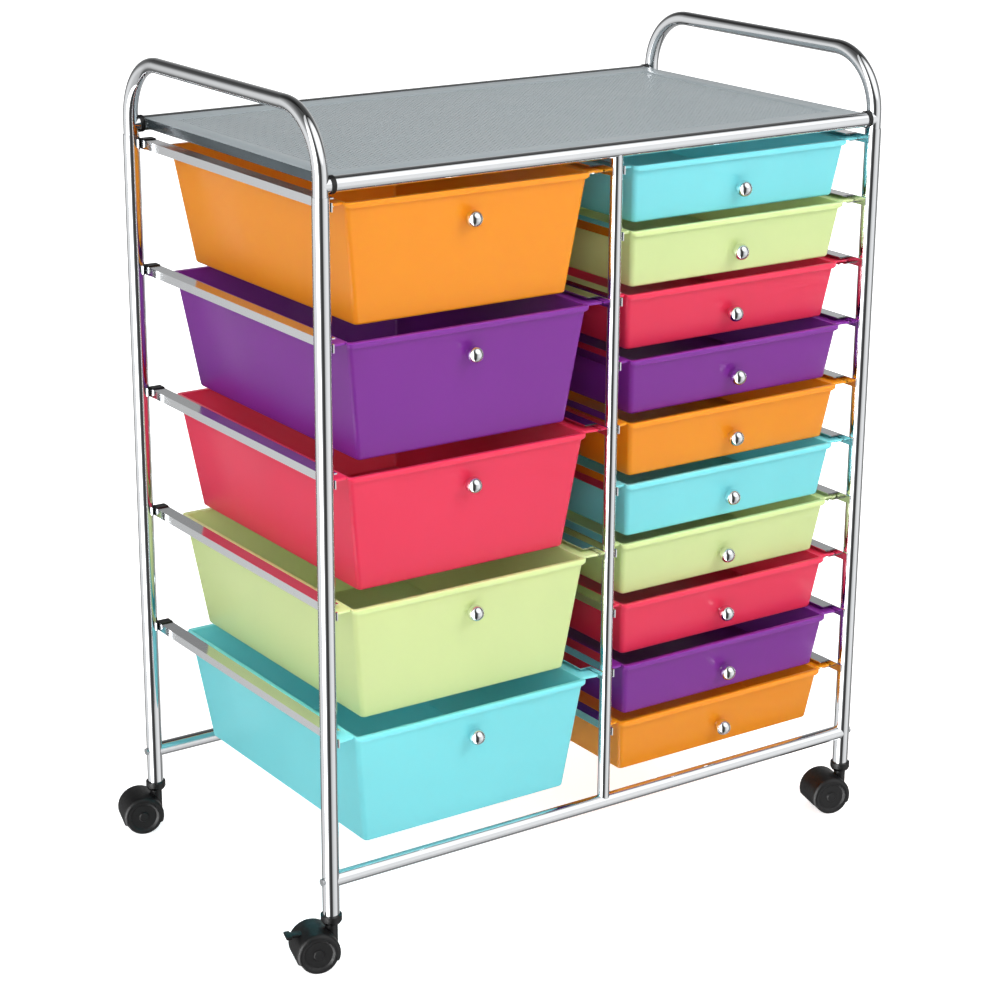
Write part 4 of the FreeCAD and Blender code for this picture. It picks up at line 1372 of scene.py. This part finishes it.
        direct = add_node(
            tree, "Math", larger, in_0=rays["Is Camera Ray"], in_1=rays["Is Transmission Ray"]
        )
        white = linear("#FFFFFF")
        reflected, soft, plain = (
            add_node(tree, "Background", Color=colour, Strength=strength).outputs[0]
            for colour, strength in (
                (brighter.outputs["Vector"], self.gain), (white, self.ambient), (white, 1.0)
            )
        )
        lit = add_node(tree, "MixShader", in_0=rays["Is Glossy Ray"], in_1=soft, in_2=reflected)
        shown = add_node(tree, "MixShader", in_0=direct.outputs[0], in_1=lit.outputs[0], in_2=plain)
        add_node(tree, "OutputWorld", Surface=shown.outputs[0])

    @staticmethod
    def fill_ramp(ramp: Node, limit: float, levels: Iterable[Point]) -> None:
        """Set a colour ramp's stops from angles and grey levels.

        Args:
            ramp: The ramp's node.
            limit: The angle at its right end in degrees; its left end is the same below zero.
            levels: Angle and grey level of each stop.
        """
        stops = ramp.color_ramp.elements
        while len(stops) > 1:
            stops.remove(stops[-1])
        for index, (angle, level) in enumerate(levels):
            position = (angle + limit) / (2 * limit)
            stop = stops[0] if index == 0 else stops.new(position)
            stop.position = position
            stop.color = (level, level, level, 1)

    @staticmethod
    def towards(bearing: float, height: float) -> Vector:
        """Return the direction with a bearing from the front and a height, in degrees."""
        a, e = math.radians(bearing), math.radians(height)
        return Vector((math.sin(a) * math.cos(e), -math.cos(a) * math.cos(e), math.sin(e)))

    def add_lamps(self) -> None:
        """Add the key lamp at the front right, a fill behind the camera and two softer ones."""
        for lamp in self.lamps:
            aim = self.towards(lamp.bearing, lamp.height)
            light = bpy.data.lights.new(lamp.name, "AREA")
            light.size = lamp.size
            light.energy = lamp.power
            holder = bpy.data.objects.new(lamp.name, light)
            holder.location = Vector(self.lamp_target) + aim * lamp.reach
            holder.rotation_euler = aim.to_track_quat("Z", "Y").to_euler()
            holder.visible_glossy = False
            bpy.context.scene.collection.objects.link(holder)


DEEP_COLOURS = (Colour.ORANGE, Colour.PURPLE, Colour.RED, Colour.LIME, Colour.AQUA)
SHALLOW_COLOURS = (Colour.AQUA, Colour.LIME, Colour.RED, Colour.PURPLE, Colour.ORANGE) * 2
DEEP_SHAPE = {
    "front_taper": 11 * MM, "side_taper": 14.8 * MM, "rear_taper": 17 * MM, "knob_drop": 24 * MM
}
SHALLOW_SHAPE = {
    "front_taper": 8 * MM, "side_taper": 6.3 * MM, "rear_taper": 8 * MM, "knob_drop": 30.3 * MM
}


def main() -> None:
    """Build the cart's pieces and the studio in order."""
    logging.basicConfig(level=logging.INFO, format="%(name)s: %(message)s")
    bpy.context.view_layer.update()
    for kind, colours, shape in (
        ("deep", DEEP_COLOURS, DEEP_SHAPE), ("shallow", SHALLOW_COLOURS, SHALLOW_SHAPE)
    ):
        for number, colour in enumerate(colours, start=1):
            Drawer(kind, number, colour, **shape).build()
    Tray().build()
    for corner in ("front_left", "rear_left", "front_right", "rear_right"):
        Caster(corner, braked=corner == "front_left").build()
    FrameFinish().build()
    Studio().build()


if __name__ == "__main__":
    main()
